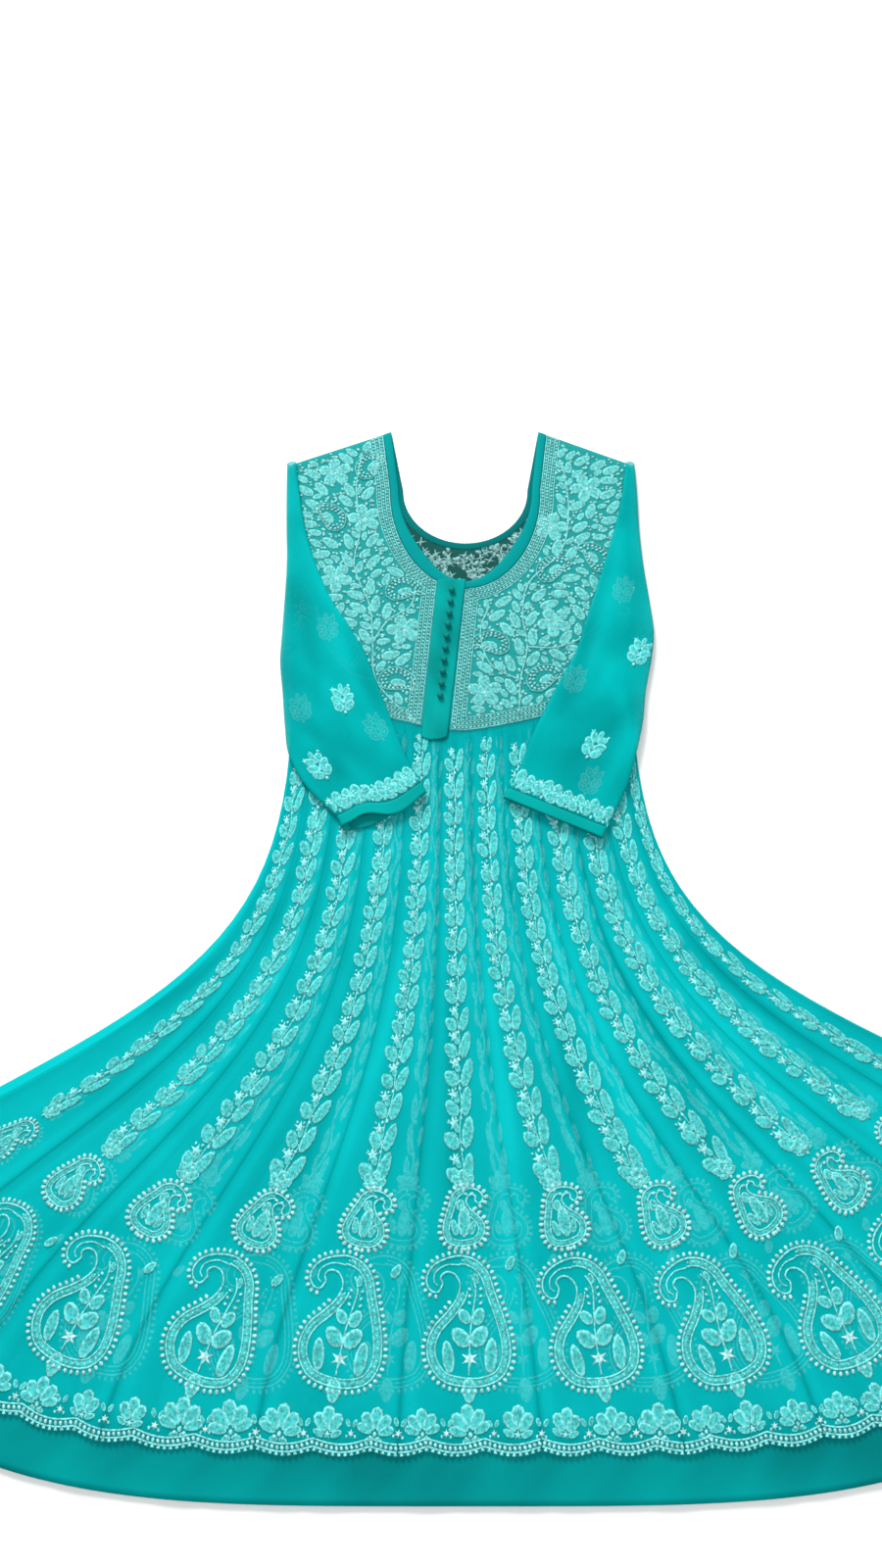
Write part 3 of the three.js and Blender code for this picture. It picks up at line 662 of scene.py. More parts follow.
def station_at(stations, k):
    """A station between those of the table, by a smooth curve through them."""
    table = np.array([stations[key] for key in STATION], dtype=float).T
    j = min(int(k), LAST_STATION - 1)
    t = k - j
    before, after = table[max(j - 1, 0)], table[min(j + 2, LAST_STATION)]
    a, b = table[j], table[j + 1]
    smooth = 2 * a + (b - before) * t + (2 * before - 5 * a + 4 * b - after) * t**2
    smooth = (smooth + (3 * a - before - 3 * b + after) * t**3) / 2
    values = dict(zip(STATION, smooth))
    values.update(rest=a[4] + (b[4] - a[4]) * t, rest_out=a[5] + (b[5] - a[5]) * t)
    return values


def station_plan(values):
    """A station's inner end, the ways across to its outer end and down the arm, and its width."""
    inner = np.array([values["in_x"], values["in_y"]])
    outer = np.array([values["out_x"], values["out_y"]])
    width = np.linalg.norm(outer - inner)
    across = (outer - inner) / width
    return inner, across, np.array([across[1], -across[0]]) * np.sign(values["out_x"]), width


def eased(at, wave, layer):
    """The wave of one layer's edge, rounded off between the places of its table."""
    shifts = (-0.09, -0.045, 0, 0.045, 0.09)
    return sum(np.interp(at + shift, wave["at"], wave[layer]) for shift in shifts) / len(shifts)


def sleeve_ring(values, k, wave, share, creases):
    """Outside of the tube at one station, from the underarm seam over the inner fold and round to it."""
    inner, across, down, width = station_plan(values)
    r = SLEEVE_FOLD
    closed = np.clip((k - ARMHOLE_STATIONS + 1.5) / 1.0, 0, 1)
    edge_x = np.interp(values["in_y"], BODICE_EDGE["y"], BODICE_EDGE["x"])
    arm = abs(edge_x * np.sign(values["out_x"]) - values["in_x"])
    seam_in = (arm - ARMHOLE_SEAM) * (1 - closed) + (width - UNDERARM_SEAM) * closed
    seam_out = (arm + GAP) * (1 - closed) + (width - UNDERARM_SEAM + 0.1) * closed
    seam_in = min(seam_in, width - r - 0.6)
    seam_out = min(max(seam_out, seam_in + 0.1), width - r - 0.3)
    low, low_out = values["rest"], values["rest_out"]

    def low_at(s):
        return low + (low_out - low) * closed * s / width

    foot = low_out * (1 - closed) + low_at(width - r) * closed
    thick = 2 * r + CLOTH
    s1 = np.linspace(seam_in, r, SECTION["under"])
    z1 = low_at(s1)
    a = np.linspace(0, np.pi, SECTION["fold"] + 2)[1:-1]
    round_in = r + CLOTH / 2
    s2, z2 = r - round_in * np.sin(a), low + thick / 2 - thick / 2 * np.cos(a)
    s3 = np.linspace(r, width - r, SECTION["over"])
    puff = np.sin(np.pi * s3 / width) ** 0.6
    xy = inner[:, None] + across[:, None] * s3
    z3 = low + (low_out - low) * s3 / width + thick
    z3 = z3 + puff * (0.9 + creased(xy[0], xy[1], creases))
    top = low + (low_out - low) * (width - r) / width + thick
    s4 = width - r + round_in * np.sin(a)
    z4 = foot + (top - foot) * (0.5 + 0.5 * np.cos(a))
    s5 = np.linspace(width - r, seam_out, SECTION["seam"])
    z5 = np.linspace(foot, low_out * (1 - closed) + low_at(seam_out) * closed, SECTION["seam"])
    s = np.concatenate([s1, s2, s3, s4, s5])
    z = np.concatenate([z1, z2, z3, z4, z5])
    at = np.clip(s / width, 0, 1)
    ease = 0.5 + 0.5 * np.cos(a)
    lower = np.concatenate([0 * s1 + 1, ease, 0 * s3, 1 - ease, 0 * s5 + 1])
    drop = share * (eased(at, wave, "upper") * (1 - lower) + eased(at, wave, "lower") * lower)
    plan = inner[:, None] + across[:, None] * s + down[:, None] * drop
    return np.column_stack([plan[0], plan[1], z])


def tube_piece(name, rings, node, slot, rests_on, cloth, creases, inside=0.0):
    rings = np.array(rings)
    tall, round_count = len(rings) - 1, rings.shape[1] - 1

    def spots_at(across, along):
        return rings[np.rint(along * tall).astype(int), np.rint(across * round_count).astype(int)].T

    def place(across, along):
        return on_plan(*spots_at(across, along))

    # Painted light and shade over the creases and in soft patches, and painted shade on the under layer's
    # inside where a cuff's wave opens
    def drape(across, along):
        x, y, _ = spots_at(across, along)
        shade = 0.26 * creased(x, y, creases) + 0.2 * np.sin(x / 19 + y / 34) * np.sin(y / 23 - x / 41)
        return shade - inside * (across * round_count < SECTION["under"] + 0.5)

    return cloth_panel(name, round_count, tall, place, cloth, node, slot, rests_on, drape=drape)


def sleeve(side, stations, wave, creases):
    rings = []
    for k in np.linspace(0, LAST_STATION, 68):
        share = SLEEVE_END_WAVE * np.clip(k - LAST_STATION + 1, 0, 1)
        rings.append(sleeve_ring(station_at(stations, k), k, wave, share, creases))
    names = "tube_sleeve_" + side, rings, "sleeve_" + side, "georgette", ["front_yoke_" + side]
    return tube_piece(*names, SLEEVE_CLOTH, creases)


def cuff_band(side, stations, wave, creases):
    end = station_at(stations, LAST_STATION)
    down = station_plan(end)[2]
    rings = []
    for share in np.linspace(0, 1, 7):
        by = GAP + (CUFF_BAND - GAP) * share
        moved = dict(end)
        for key in ("in", "out"):
            moved[key + "_x"] += down[0] * by
            moved[key + "_y"] += down[1] * by
        wavy = SLEEVE_END_WAVE + (1 - SLEEVE_END_WAVE) * share
        rings.append(sleeve_ring(moved, LAST_STATION, wave, wavy, creases))
    names = "end_band_" + side, rings, "cuff_band_" + side, "plain_band", ["tube_sleeve_" + side]
    return tube_piece(*names, CUFF_CLOTH, creases, CUFF_SHADE)


SLEEVE_CLOTH = crepe_cloth("sleeve_georgette", (0.0, 0.31, 0.31), (0.0, 0.54, 0.535), 0.55)
CUFF_CLOTH = crepe_cloth("cuff_cloth", (0.0, 0.25, 0.235), (0.0, 0.38, 0.36), 0.97, 0.7, 0.03)
CUFF_SHADE = 1.2  # how much darker the inside of the band is, where its wave opens
sleeves = {side: sleeve(side, *shape) for side, shape in SLEEVES.items()}
for side, shape in SLEEVES.items():
    cuff_band(side, *shape)

# The chikan stitches
# Hand embroidery in fine cotton thread: leaves and petals edged in stem stitch and filled in herringbone,
# knots and beads, and stars in a paler thread. Each form is made once here and sewn on many times below.
STITCH_TONE = {"filling": 0.0, "outline": 1.0, "knot": 1.2, "rim": 1.5, "star": 1.8}
CORD_SIDES_UP = 0.15  # how far a cord's middle lies above the cloth, as a share of its thickness


def arrays_of(bm, tone, filling=()):
    """A form's corners, triangles and tones, which say what thread each corner is in."""
    bmesh.ops.recalc_face_normals(bm, faces=bm.faces)
    bmesh.ops.triangulate(bm, faces=bm.faces)
    bm.verts.index_update()
    corners = np.array([vert.co[:] for vert in bm.verts])
    triangles = np.array([[vert.index for vert in face.verts] for face in bm.faces])
    tones = np.full(len(corners), STITCH_TONE[tone])
    tones[[vert.index for vert in filling]] = STITCH_TONE["filling"]
    bm.free()
    return corners, triangles, tones


def leaf(length, width, taper=0.25, sides=10, height=0.75):
    """A leaf with its stem at the origin and its tip up +Y: a ridge of outline round a low filling."""
    bm = bmesh.new()
    bmesh.ops.create_cone(bm, cap_ends=True, segments=sides, radius1=1, radius2=0.88, depth=1)
    for vert in bm.verts:
        across, along, up = vert.co
        vert.co = across * width / 2 * (1 - taper * along), (along + 1) * length / 2, (up + 0.5) * height
    bm.faces.ensure_lookup_table()
    top = max(bm.faces, key=lambda face: face.calc_center_median().z)
    bmesh.ops.inset_individual(bm, faces=[top], thickness=0.19 * width, depth=-0.5 * height)
    filling = list(top.verts)
    filling += bmesh.ops.poke(bm, faces=[top], offset=0.3 * height)["verts"]
    return arrays_of(bm, "outline", filling)


def knot(length, width, height=1.2, tone="knot"):
    bm = bmesh.new()
    bmesh.ops.create_icosphere(bm, subdivisions=1, radius=1)
    bmesh.ops.scale(bm, verts=bm.verts, vec=(width / 2, length / 2, height / 2))
    bmesh.ops.translate(bm, verts=bm.verts, vec=(0, 0, height * 0.3))
    return arrays_of(bm, tone)


def star(radius, points=6, tone="star"):
    bm = bmesh.new()
    sizes = {"radius1": radius, "radius2": 0.8 * radius, "depth": 0.6}
    bmesh.ops.create_cone(bm, cap_ends=True, segments=2 * points, **sizes)
    for vert in bm.verts:
        turn = math.atan2(vert.co.x, vert.co.y) * points / math.pi
        if round(turn) % 2:
            vert.co.x, vert.co.y = vert.co.x * 0.38, vert.co.y * 0.38
    top = max(bm.faces, key=lambda face: face.calc_center_median().z)
    bmesh.ops.poke(bm, faces=[top], offset=0.3)
    return arrays_of(bm, tone)


def stacked(groups):
    """Joins pairs of corners and faces into one pair, with the faces numbered on."""
    starts = np.cumsum([0] + [len(corners) for corners, _ in groups])
    faces = [faces + start for start, (_, faces) in zip(starts, groups)]
    return np.vstack([corners for corners, _ in groups]), np.vstack(faces)


def turned(across, along, degrees):
    c, s = math.cos(math.radians(degrees)), math.sin(math.radians(degrees))
    return across * c - along * s, across * s + along * c


def together(*placed):
    """Joins forms, each given as (form, x, y, turn in degrees, scale), into one form."""
    groups = []
    for (corners, triangles, _), x, y, turn, scale in placed:
        across, along, up = scale * corners.T
        across, along = turned(across, along, turn)
        groups.append((np.column_stack([across + x, along + y, up]), triangles))
    return *stacked(groups), np.concatenate([form[2] for form, *_ in placed])


def still(form):
    return form, 0, 0, 0, 1


def pair(form, x, y, turn, scale):
    return (form, x, y, turn, scale), (form, -x, y, -turn, scale)


def cord(line, thickness, tone="outline"):
    """A laid cord of stem stitch along a line of plan or local places, as a form of its own."""
    line = np.asarray(line, dtype=float)
    curve = bpy.data.curves.new("cord_path", "CURVE")
    curve.dimensions = "3D"
    curve.bevel_depth = thickness / 2
    curve.bevel_resolution = 0
    curve.use_fill_caps = True
    spline = curve.splines.new("POLY")
    spline.points.add(len(line) - 1)
    heights = np.full(len(line), thickness * CORD_SIDES_UP)
    spline.points.foreach_set("co", np.column_stack([line, heights, 0 * heights + 1]).ravel())
    holder = bpy.data.objects.new("cord_path", curve)
    mesh = bpy.data.meshes.new_from_object(holder)
    bm = bmesh.new()
    bm.from_mesh(mesh)
    bmesh.ops.remove_doubles(bm, verts=bm.verts, dist=1e-5)
    bpy.data.objects.remove(holder)
    bpy.data.curves.remove(curve)
    bpy.data.meshes.remove(mesh)
    return arrays_of(bm, tone)


def smooth_line(points, steps=6):
    """A smooth line through a short list of places."""
    points = np.asarray(points, dtype=float)
    rows = np.vstack([2 * points[0] - points[1], points, 2 * points[-1] - points[-2]])
    t = np.linspace(0, 1, steps, endpoint=False)[:, None]
    line = []
    for a, b, c, d in zip(rows, rows[1:], rows[2:], rows[3:]):
        curve = 2 * b + (c - a) * t + (2 * a - 5 * b + 4 * c - d) * t**2 + (3 * b - a - 3 * c + d) * t**3
        line.append(curve / 2)
    return np.vstack([*line, points[-1:]])


def even_places(line, pitch):
    """Places every pitch along a line, with the line's direction in degrees at each."""
    reach = reach_of(line)
    count = max(int(reach[-1] / pitch), 1)
    at = (np.arange(count) + 0.5) * reach[-1] / count
    way_x, way_y = np.subtract(spots_on(line, reach, at + 0.5), spots_on(line, reach, at - 0.5))
    return *spots_on(line, reach, at), np.degrees(np.arctan2(way_y, way_x))


def row_of(form, line, pitch, turn=0.0, scale=1.0):
    """A form placed every pitch along a line, each turned so far from the line's direction."""
    return [(form, x, y, way + turn, scale) for x, y, way in zip(*even_places(line, pitch))]


class Hoop:
    """One stretch of cloth being embroidered: it gathers placed forms and sews them on as one piece."""

    def __init__(self, cloths, from_above=True):
        groups = []
        for cloth in cloths:
            spots = np.empty(3 * len(cloth.data.vertices))
            cloth.data.vertices.foreach_get("co", spots)
            faces = np.array([face.vertices[:] for face in cloth.data.polygons])
            groups.append((spots.reshape(-1, 3), faces))
        corners, faces = stacked(groups)
        self.tree = BVHTree.FromPolygons(corners.tolist(), faces.tolist())
        self.from_above = from_above
        self.placed = []

    def add(self, form, x=0.0, y=0.0, turn=0.0, scale=1.0, wide=1.0, flip=False):
        corners, triangles, tones = form
        across = corners[:, 0] * scale * wide * (-1 if flip else 1)
        across, along = turned(across, corners[:, 1] * scale, turn)
        spots = np.column_stack([across + x, along + y, corners[:, 2] * scale])
        triangles = triangles[:, ::-1] if flip else triangles
        self.placed.append((spots, triangles, tones, corners[:, :2]))

    def add_all(self, placed):
        for one in placed:
            self.add(*one)

    def sew(self, name, thread, flat=1.0, foot=None):
        """Lays the forms on the cloth; flat presses them, foot carries their undersides down through it."""
        spots, triangles = stacked([one[:2] for one in self.placed])
        points = on_plan(*spots.T)
        start, way = (0.1, -1.0) if self.from_above else (-0.1, 1.0)
        for point in points:
            hit = self.tree.ray_cast((point[0], point[1], start), (0, 0, way))[0]
            if hit is None:
                hit = self.tree.find_nearest((point[0], point[1], 0.004))[0]
                point[:2] = hit[:2]
            if foot is not None and point[2] < 0.1 * MM:
                point[2] = foot * MM
            else:
                point[2] = hit.z + flat * point[2]
        mesh = bpy.data.meshes.new(name)
        mesh.from_pydata(points, [], triangles)
        tone = mesh.attributes.new("tone", "FLOAT", "POINT")
        tone.data.foreach_set("value", np.concatenate([one[2] for one in self.placed]))
        local = np.vstack([one[3] for one in self.placed])
        stitch = mesh.attributes.new("stitch", "FLOAT_VECTOR", "POINT")
        stitch.data.foreach_set("vector", np.column_stack([local, 0 * local[:, :1]]).ravel())
        mesh.shade_smooth()
        mesh.materials.append(thread)
        piece = new_object(name, mesh)
        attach(piece, "root")


# Cotton stitches: the tone picks the colour, slanting stitches ripple along each form with painted shade in
# the ripple's troughs and painted light on its crests, the strands are uneven
STITCHES = shader_group(
    "cotton_stitches",
    {"Tone": "Float", "Place": "Vector", "Filling": "Color", "Outline": "Color", "Pale": "Color"},
    [
        ("past", MATH, {"operation": "SUBTRACT"}, {1: 1}),
        ("near", MIX, {"data_type": "RGBA"}, {}),
        ("far", MIX, {"data_type": "RGBA"}, {}),
        ("tint", MIX, {"data_type": "RGBA", "blend_type": "MULTIPLY"}, {"Factor": 1}),
        ("ripple", WAVE, {"bands_direction": "DIAGONAL"}, {"Scale": 0.3, "Distortion": 2.5, "Detail": 1}),
        ("place", "ShaderNodeTexCoord", {}, {}),
        ("strands", NOISE, {}, {"Scale": 380, "Detail": 2}),
        ("gaps", RANGE, {}, {"From Min": 0.36, "From Max": 0.6, "To Min": 0.6, "To Max": 1.12}),
        # painted light and shade: the colour follows the ripple's height
        ("rows", RANGE, {}, {"To Min": 0.78, "To Max": 1.08}),
        ("both", MATH, {"operation": "MULTIPLY"}, {}),
    ],
    [
        "entry.Tone > near.Factor", "entry.Tone > past.0", "past.Value > far.Factor",
        "entry.Filling > near.6", "entry.Outline > near.7", "near.2 > far.6", "entry.Pale > far.7",
        "entry.Place > ripple.Vector", "place.Object > strands.Vector", "ripple.Fac > rows.Value",
        "strands.Fac > gaps.Value", "rows.Result > both.0", "gaps.Result > both.1", "far.2 > tint.6",
        "both.Value > tint.7", "tint.2 > leave.Color", "ripple.Fac > leave.Height",
    ],
)


def thread_finish(name, filling, outline, pale):
    colours = {"Filling": filling, "Outline": outline, "Pale": pale}
    feeds = [("tone", "Fac", "Tone"), ("stitch", "Vector", "Place")]
    surface = {"Roughness": 0.6, "Specular IOR Level": 0.15}
    return grouped_finish(name, STITCHES, colours, feeds, (0.5, 0.0002), surface)


THREAD = thread_finish("chikan_thread", (0.06, 0.56, 0.55), (0.25, 0.82, 0.81), (0.64, 0.90, 0.91))
YOKE_THREAD = thread_finish("chikan_thread_yoke", (0.11, 0.53, 0.51), (0.20, 0.63, 0.61), (0.58, 0.78, 0.78))
GHOST_THREAD = thread_finish("chikan_thread_back", (0.38, 0.97, 0.97), (0.46, 1.0, 1.0), (0.5, 1.0, 1.0))
LOWER_THREAD = thread_finish("chikan_thread_lower", (0.8, 1.0, 1.0), (0.9, 1.0, 1.0), (1.0, 1.0, 1.0))
# The pale threads on the back yoke's wrong side, painted dark as the shade inside the neck
INSIDE_TONES_PAINTED_SHADE = (0.10, 0.30, 0.28), (0.22, 0.48, 0.46), (0.30, 0.56, 0.54)
INSIDE_THREAD = thread_finish("chikan_thread_inside_painted_shade", *INSIDE_TONES_PAINTED_SHADE)
sprinkle = random.Random(11)

# The vines on the kalis
# Down the middle of each kali runs a row of sprigs: a long leaf to the right, a rounder one to the left
# with a star above it, on a stem that sways. The rows on the back show faintly through the front.
LONG_LEAF = leaf(24, 9.4, 0.05)
ROUND_LEAF = leaf(15, 10.4, 0.1)
STAR = star(4.0)
SMALL_STAR = star(4.8, 5, "knot")
KNOT = knot(3.4, 2.4)
SMALL_LEAF = leaf(10, 5.5, 0.1, 8)


def heading(x, y):
    """The turn in degrees that sets a form's +Y that way."""
    return math.degrees(math.atan2(y, x)) - 90


def fewer_strands(form, share):
    """The same form with its leaves in fewer strands, so less pale; its knots and stars stay as they are."""
    corners, triangles, tones = form
    return corners, triangles, np.where(tones > 1, tones, share * tones)


def sprig(spread, lean, rise):
    """One step of a vine."""
    form = together(
        (LONG_LEAF, 3.7, -1.0, lean - spread, 1.18), (ROUND_LEAF, -2.6, 0.0, lean + 22 + spread, 1.2),
        (SMALL_LEAF, -1.4, 11.0 + rise, 14 + lean, 1.1), (SMALL_LEAF, -3.0, 7.0 + rise, 44, 0.8),
        (SMALL_STAR, -5.4, 20.0 + rise, 10, 1.45), (KNOT, -9.4, 23.4, 30, 1.0), (KNOT, -3.2, 25.0, -20, 1.1),
        (KNOT, 0.3, -1.5, 5, 1.3), (KNOT, 0.6, 5.0, 15, 0.9),
    )
    return fewer_strands(form, 0.6)


SPRIGS = [sprig(11, 0, 0), sprig(15, 3, 1.5), sprig(9, -3, -1.5)]
STREAK = leaf(27, 6.2, 0.1, 6, 0.5)
GHOST_SPRIGS = [
    together((STREAK, 3.6, 0, -4, 1.1), (STREAK, -3.4, 6, 8, 0.75), (KNOT, -4, 24, 0, 1.6)),
    together((STREAK, 5.0, 3, -8, 0.8), (STREAK, -2.4, -5, 2, 1.15), (KNOT, 1, 25, 0, 1.4)),
]
VINE = {
    "from": 0.008,
    "to": 0.628,
    "at": [0.02, 0.14, 0.3, 0.62],
    "size": [1.08, 1.06, 0.9, 1.1],
    "wide": [0.7, 0.74, 0.9, 0.94],
}
SPRIG_PITCH = 27.5
SWAY_PITCH = 61


def sew_vine(hoop, u, sprigs, narrow, stem, sway):
    """Sews sprigs up a row from its lower end, each fitted to the room between the seams, then the stem."""
    v = np.linspace(VINE["from"], VINE["to"], 90)
    line = np.column_stack(skirt_plan(np.full_like(v, u), v))
    reach = reach_of(line)
    at = reach[-1] - sprinkle.uniform(0, 3)
    while at > 10:
        x, y = spots_on(line, reach, at)
        here = np.interp(at, reach, v)
        size, wide = np.interp(here, VINE["at"], VINE["size"]), np.interp(here, VINE["at"], VINE["wide"])
        turn = heading(*np.subtract(spots_on(line, reach, at - 2), (x, y))) + sprinkle.uniform(-4, 4)
        room = np.hypot(*np.subtract(skirt_plan(u + 0.5, here), skirt_plan(u - 0.5, here)))
        wide = wide * min(room / 27, 1) * np.interp(here, [0.1, 0.4], [1, narrow])
        size = min(size, (at + 3) / 31)
        hoop.add(sprinkle.choice(sprigs), x, y, turn, size * sprinkle.uniform(0.93, 1.06), wide)
        at -= SPRIG_PITCH * size * sprinkle.uniform(0.95, 1.05)
    swayed = line[:, 0] + sway * np.sin(reach / SWAY_PITCH * 2 * np.pi)
    hoop.add(cord(np.column_stack([swayed, line[:, 1]])[reach > at + 20][::2], stem))


# The paisleys and the fan flowers
# Under each row stand a fan flower, a small paisley and a large one with its curl to the left. A double cord
# with filling between draws the paisley, knots stand round it, and leaves grow inside about a star.
PAISLEY_OUTLINE = [
    (-26, 99), (-31, 91), (-39, 93), (-43, 103), (-38, 115), (-26, 123), (-8, 127), (9, 122), (21, 109),
    (27, 91), (35, 69), (41, 47), (42, 26), (33, 8), (14, 0), (-8, 0), (-28, 6), (-40, 22), (-42, 40),
    (-35, 57), (-22, 71), (-12, 84), (-8, 97), (-13, 108), (-22, 111), (-28, 106), (-26, 99),
]
PAISLEY_BODY = (6, 22)  # the stretch of that outline that the inner cord follows
PAISLEY_RIM = (1, 21)  # the stretch with knots outside it
BAND_HEIGHT = 0.45
PETAL = leaf(14, 7.4, -0.2)
BROAD_PETAL = leaf(16, 9.6, -0.25)
BASE_LEAF = leaf(26, 15, 0.15)
RIM_KNOT = knot(5.8, 4.2, 1.6, "rim")
FAN_FLOWER = together(
    (PETAL, 0, 0, 0, 1.15),
    *pair(PETAL, 0, 0, 38, 1.0),
    *pair(SMALL_LEAF, 0, 0, 74, 0.9),
    (KNOT, 0, -2, 0, 1.2),
)


def offset_line(line, out):
    """The line moved to its right by out."""
    way = np.gradient(line, axis=0)
    way = way / np.linalg.norm(way, axis=1)[:, None]
    return line + out * np.column_stack([way[:, 1], -way[:, 0]])


def filled_band(inner, outer):
    """A low strip of filling stitches between two lines of as many places."""
    bm = bmesh.new()
    rows = len(inner) - 1
    bmesh.ops.create_grid(bm, x_segments=2, y_segments=rows, size=0.5)
    for vert in bm.verts:
        across, at = vert.co.x + 0.5, int(round((vert.co.y + 0.5) * rows))
        spot = inner[at] * (1 - across) + outer[at] * across
        vert.co = (spot[0], spot[1], BAND_HEIGHT if 0.2 < across < 0.8 else 0.0)
    bmesh.ops.solidify(bm, geom=bm.faces[:], thickness=0.15)
    return arrays_of(bm, "filling")


def stretch(outline, stops):
    """The part of the paisley's smoothed outline between two of its listed places."""
    steps = len(outline) // (len(PAISLEY_OUTLINE) - 1)
    return outline[steps * stops[0] : steps * stops[1]]


def large_paisley():
    outline = smooth_line(PAISLEY_OUTLINE, 4)
    body = stretch(outline, PAISLEY_BODY)
    inner = offset_line(body, 8.0)
    curl = smooth_line([(-8, 118), (-22, 118), (-33, 111), (-35, 102), (-31, 97)])
    stalk = smooth_line([(0, 10), (1, 34), (2, 52), (5, 72), (8, 94), (3, 108)])
    parts = [still(cord(outline, 2.2)), still(cord(inner, 1.8))]
    parts.append(still(filled_band(inner[1:-1], body[1:-1])))
    parts.append(still(cord(curl, 1.6)))
    parts += row_of(RIM_KNOT, offset_line(stretch(outline, PAISLEY_RIM), -4.2), 6.5)
    parts += row_of(KNOT, offset_line(body, 4), 6, 30, 0.8)
    parts += [
        (LONG_LEAF, -19, 11, 7, 1.4), (LONG_LEAF, 21, 11, -5, 1.5), (star(10, 6), 1, 26, 0, 1),
        (BASE_LEAF, 0, 9, 180, 1.0), still(cord(stalk, 2.0)), (ROUND_LEAF, 0, 38, 44, 1.6),
        (ROUND_LEAF, 3, 38, -40, 1.65), (ROUND_LEAF, 1, 60, 36, 1.15), (ROUND_LEAF, 6, 58, -26, 1.3),
        (SMALL_LEAF, 40, 112, -28, 1.7), (SMALL_LEAF, 9, 98, 6, 1.2),
    ]
    for y in (80, 87, 94):
        parts += [(KNOT, 1.5, y, 50, 1.4), (KNOT, 13.0, y, -50, 1.4)]
    return together(*parts)


def small_paisley():
    outline = smooth_line(PAISLEY_OUTLINE, 3)
    body = stretch(outline, PAISLEY_BODY)
    parts = [still(cord(outline, 4.5)), still(cord(offset_line(body, 12), 3.5))]
    parts.append(still(filled_band(offset_line(body[1:-1], 12), body[1:-1])))
    parts += row_of(RIM_KNOT, offset_line(stretch(outline, PAISLEY_RIM), -7), 13, 0, 2.3)
    parts += [
        (LONG_LEAF, 1, 16, 4, 3.0), (LONG_LEAF, -14, 22, 14, 1.4), (LONG_LEAF, 16, 22, -8, 1.6),
        (ROUND_LEAF, 6, 76, 8, 1.8), (KNOT, -20, 112, 50, 3.4), (KNOT, -8, 112, 90, 3.0),
        (KNOT, 0, -9, 0, 3.4),
    ]
    return together(*parts)


LARGE_PAISLEY = large_paisley()
SMALL_PAISLEY = small_paisley()
# Where the foot of each stands, down the kali, with its form's size, its greatest lean and its width's share
ROW_END = [
    (FAN_FLOWER, 0.636, 6, 1.15, 1.0, False),
    (SMALL_PAISLEY, 0.717, 4, 0.41, 1.1, True),
    (LARGE_PAISLEY, 0.911, 3, 0.88, 1.0, False),
]


def row_frame(u, v):
    """Place on the row and the turn that sets a form's +Y towards the waist."""
    line = np.column_stack(skirt_plan(np.array([u, u]), np.array([v, v - 0.03])))
    return *line[0], heading(*(line[1] - line[0]))


def sew_row_end(hoop, u, narrow):
    for form, stop, lean, size, wide, flip in ROW_END:
        x, y, turn = row_frame(u, stop)
        hoop.add(form, x, y, turn + sprinkle.uniform(-lean, lean), size, wide * narrow, flip)


# The hem border
# Fans of petals stand side by side along the hem with stars between them. Under them two cords with short
# stitches between follow the scalloped edge, and knots edge it.
HEM_FAN = together(
    (BROAD_PETAL, 0, 3, 0, 1.4), *pair(BROAD_PETAL, 1.5, 1, -37, 1.35), *pair(PETAL, 3, -1, -68, 1.3),
    *pair(SMALL_LEAF, 0, -6, 100, 0.9), (KNOT, 0, -2, 0, 1.8), *pair(KNOT, -4, -5, 40, 1.4),
)
HEM_TULIP = together(
    (BROAD_PETAL, 0, 2, 0, 1.45), *pair(BROAD_PETAL, 2, 0, -30, 1.3), *pair(SMALL_LEAF, 3, -4, -62, 1.3),
    (SMALL_STAR, 0, -2, 0, 1.0),
)
HEM_SPRAY = together((STAR, 0, -1, 0, 1.15), *pair(KNOT, -4.5, -4, 0, 1.2), *pair(SMALL_LEAF, -2, 5, 22, 0.9))
FANS_PER_KALI = {"most": 3, "widest": 125}
HEM_CORDS = (3.2, 9.6)
FAN_FOOT = 17


def edge_line(start, end, inside):
    """The scalloped edge between two places in the count of kalis, moved inside by so many millimetres."""
    u = np.linspace(start, end, 90)
    x, y = scalloped(u, np.ones_like(u), *skirt_plan(u, np.ones_like(u)))
    return np.column_stack(from_hem(x, y, -inside))


def sew_hem(hoop, number):
    for inside in HEM_CORDS:
        hoop.add(cord(edge_line(number, number + 1, inside)[::2], 1.8))
    hoop.add_all(row_of(RIM_KNOT, edge_line(number, number + 1, sum(HEM_CORDS) / 2), 4.4, 14, 0.8))
    hoop.add_all(row_of(KNOT, edge_line(number, number + 1, 0.4), 5.4, 0, 1.5))
    wide = float(seam_value(number + 1, "hem_x") - seam_value(number, "hem_x"))
    count = max(round(FANS_PER_KALI["most"] * wide / FANS_PER_KALI["widest"]), 2)
    for fan in range(count):
        for form, shift in ((HEM_FAN, 0.5), (HEM_SPRAY, 1.0)):
            u = number + (fan + shift) / count
            x = float(seam_value(u, "hem_x"))
            turn = heading(*np.subtract(from_hem(x, 0, -1), (x, 0))) + sprinkle.uniform(-9, 9)
            size = min(wide / count / 42, 1.05) * sprinkle.uniform(0.78, 0.98)
            form = HEM_TULIP if form is HEM_FAN and (number + 2 * fan) % 3 == 0 else form
            hoop.add(form, *from_hem(x, float(hem_y(x)), -FAN_FOOT), turn, size)


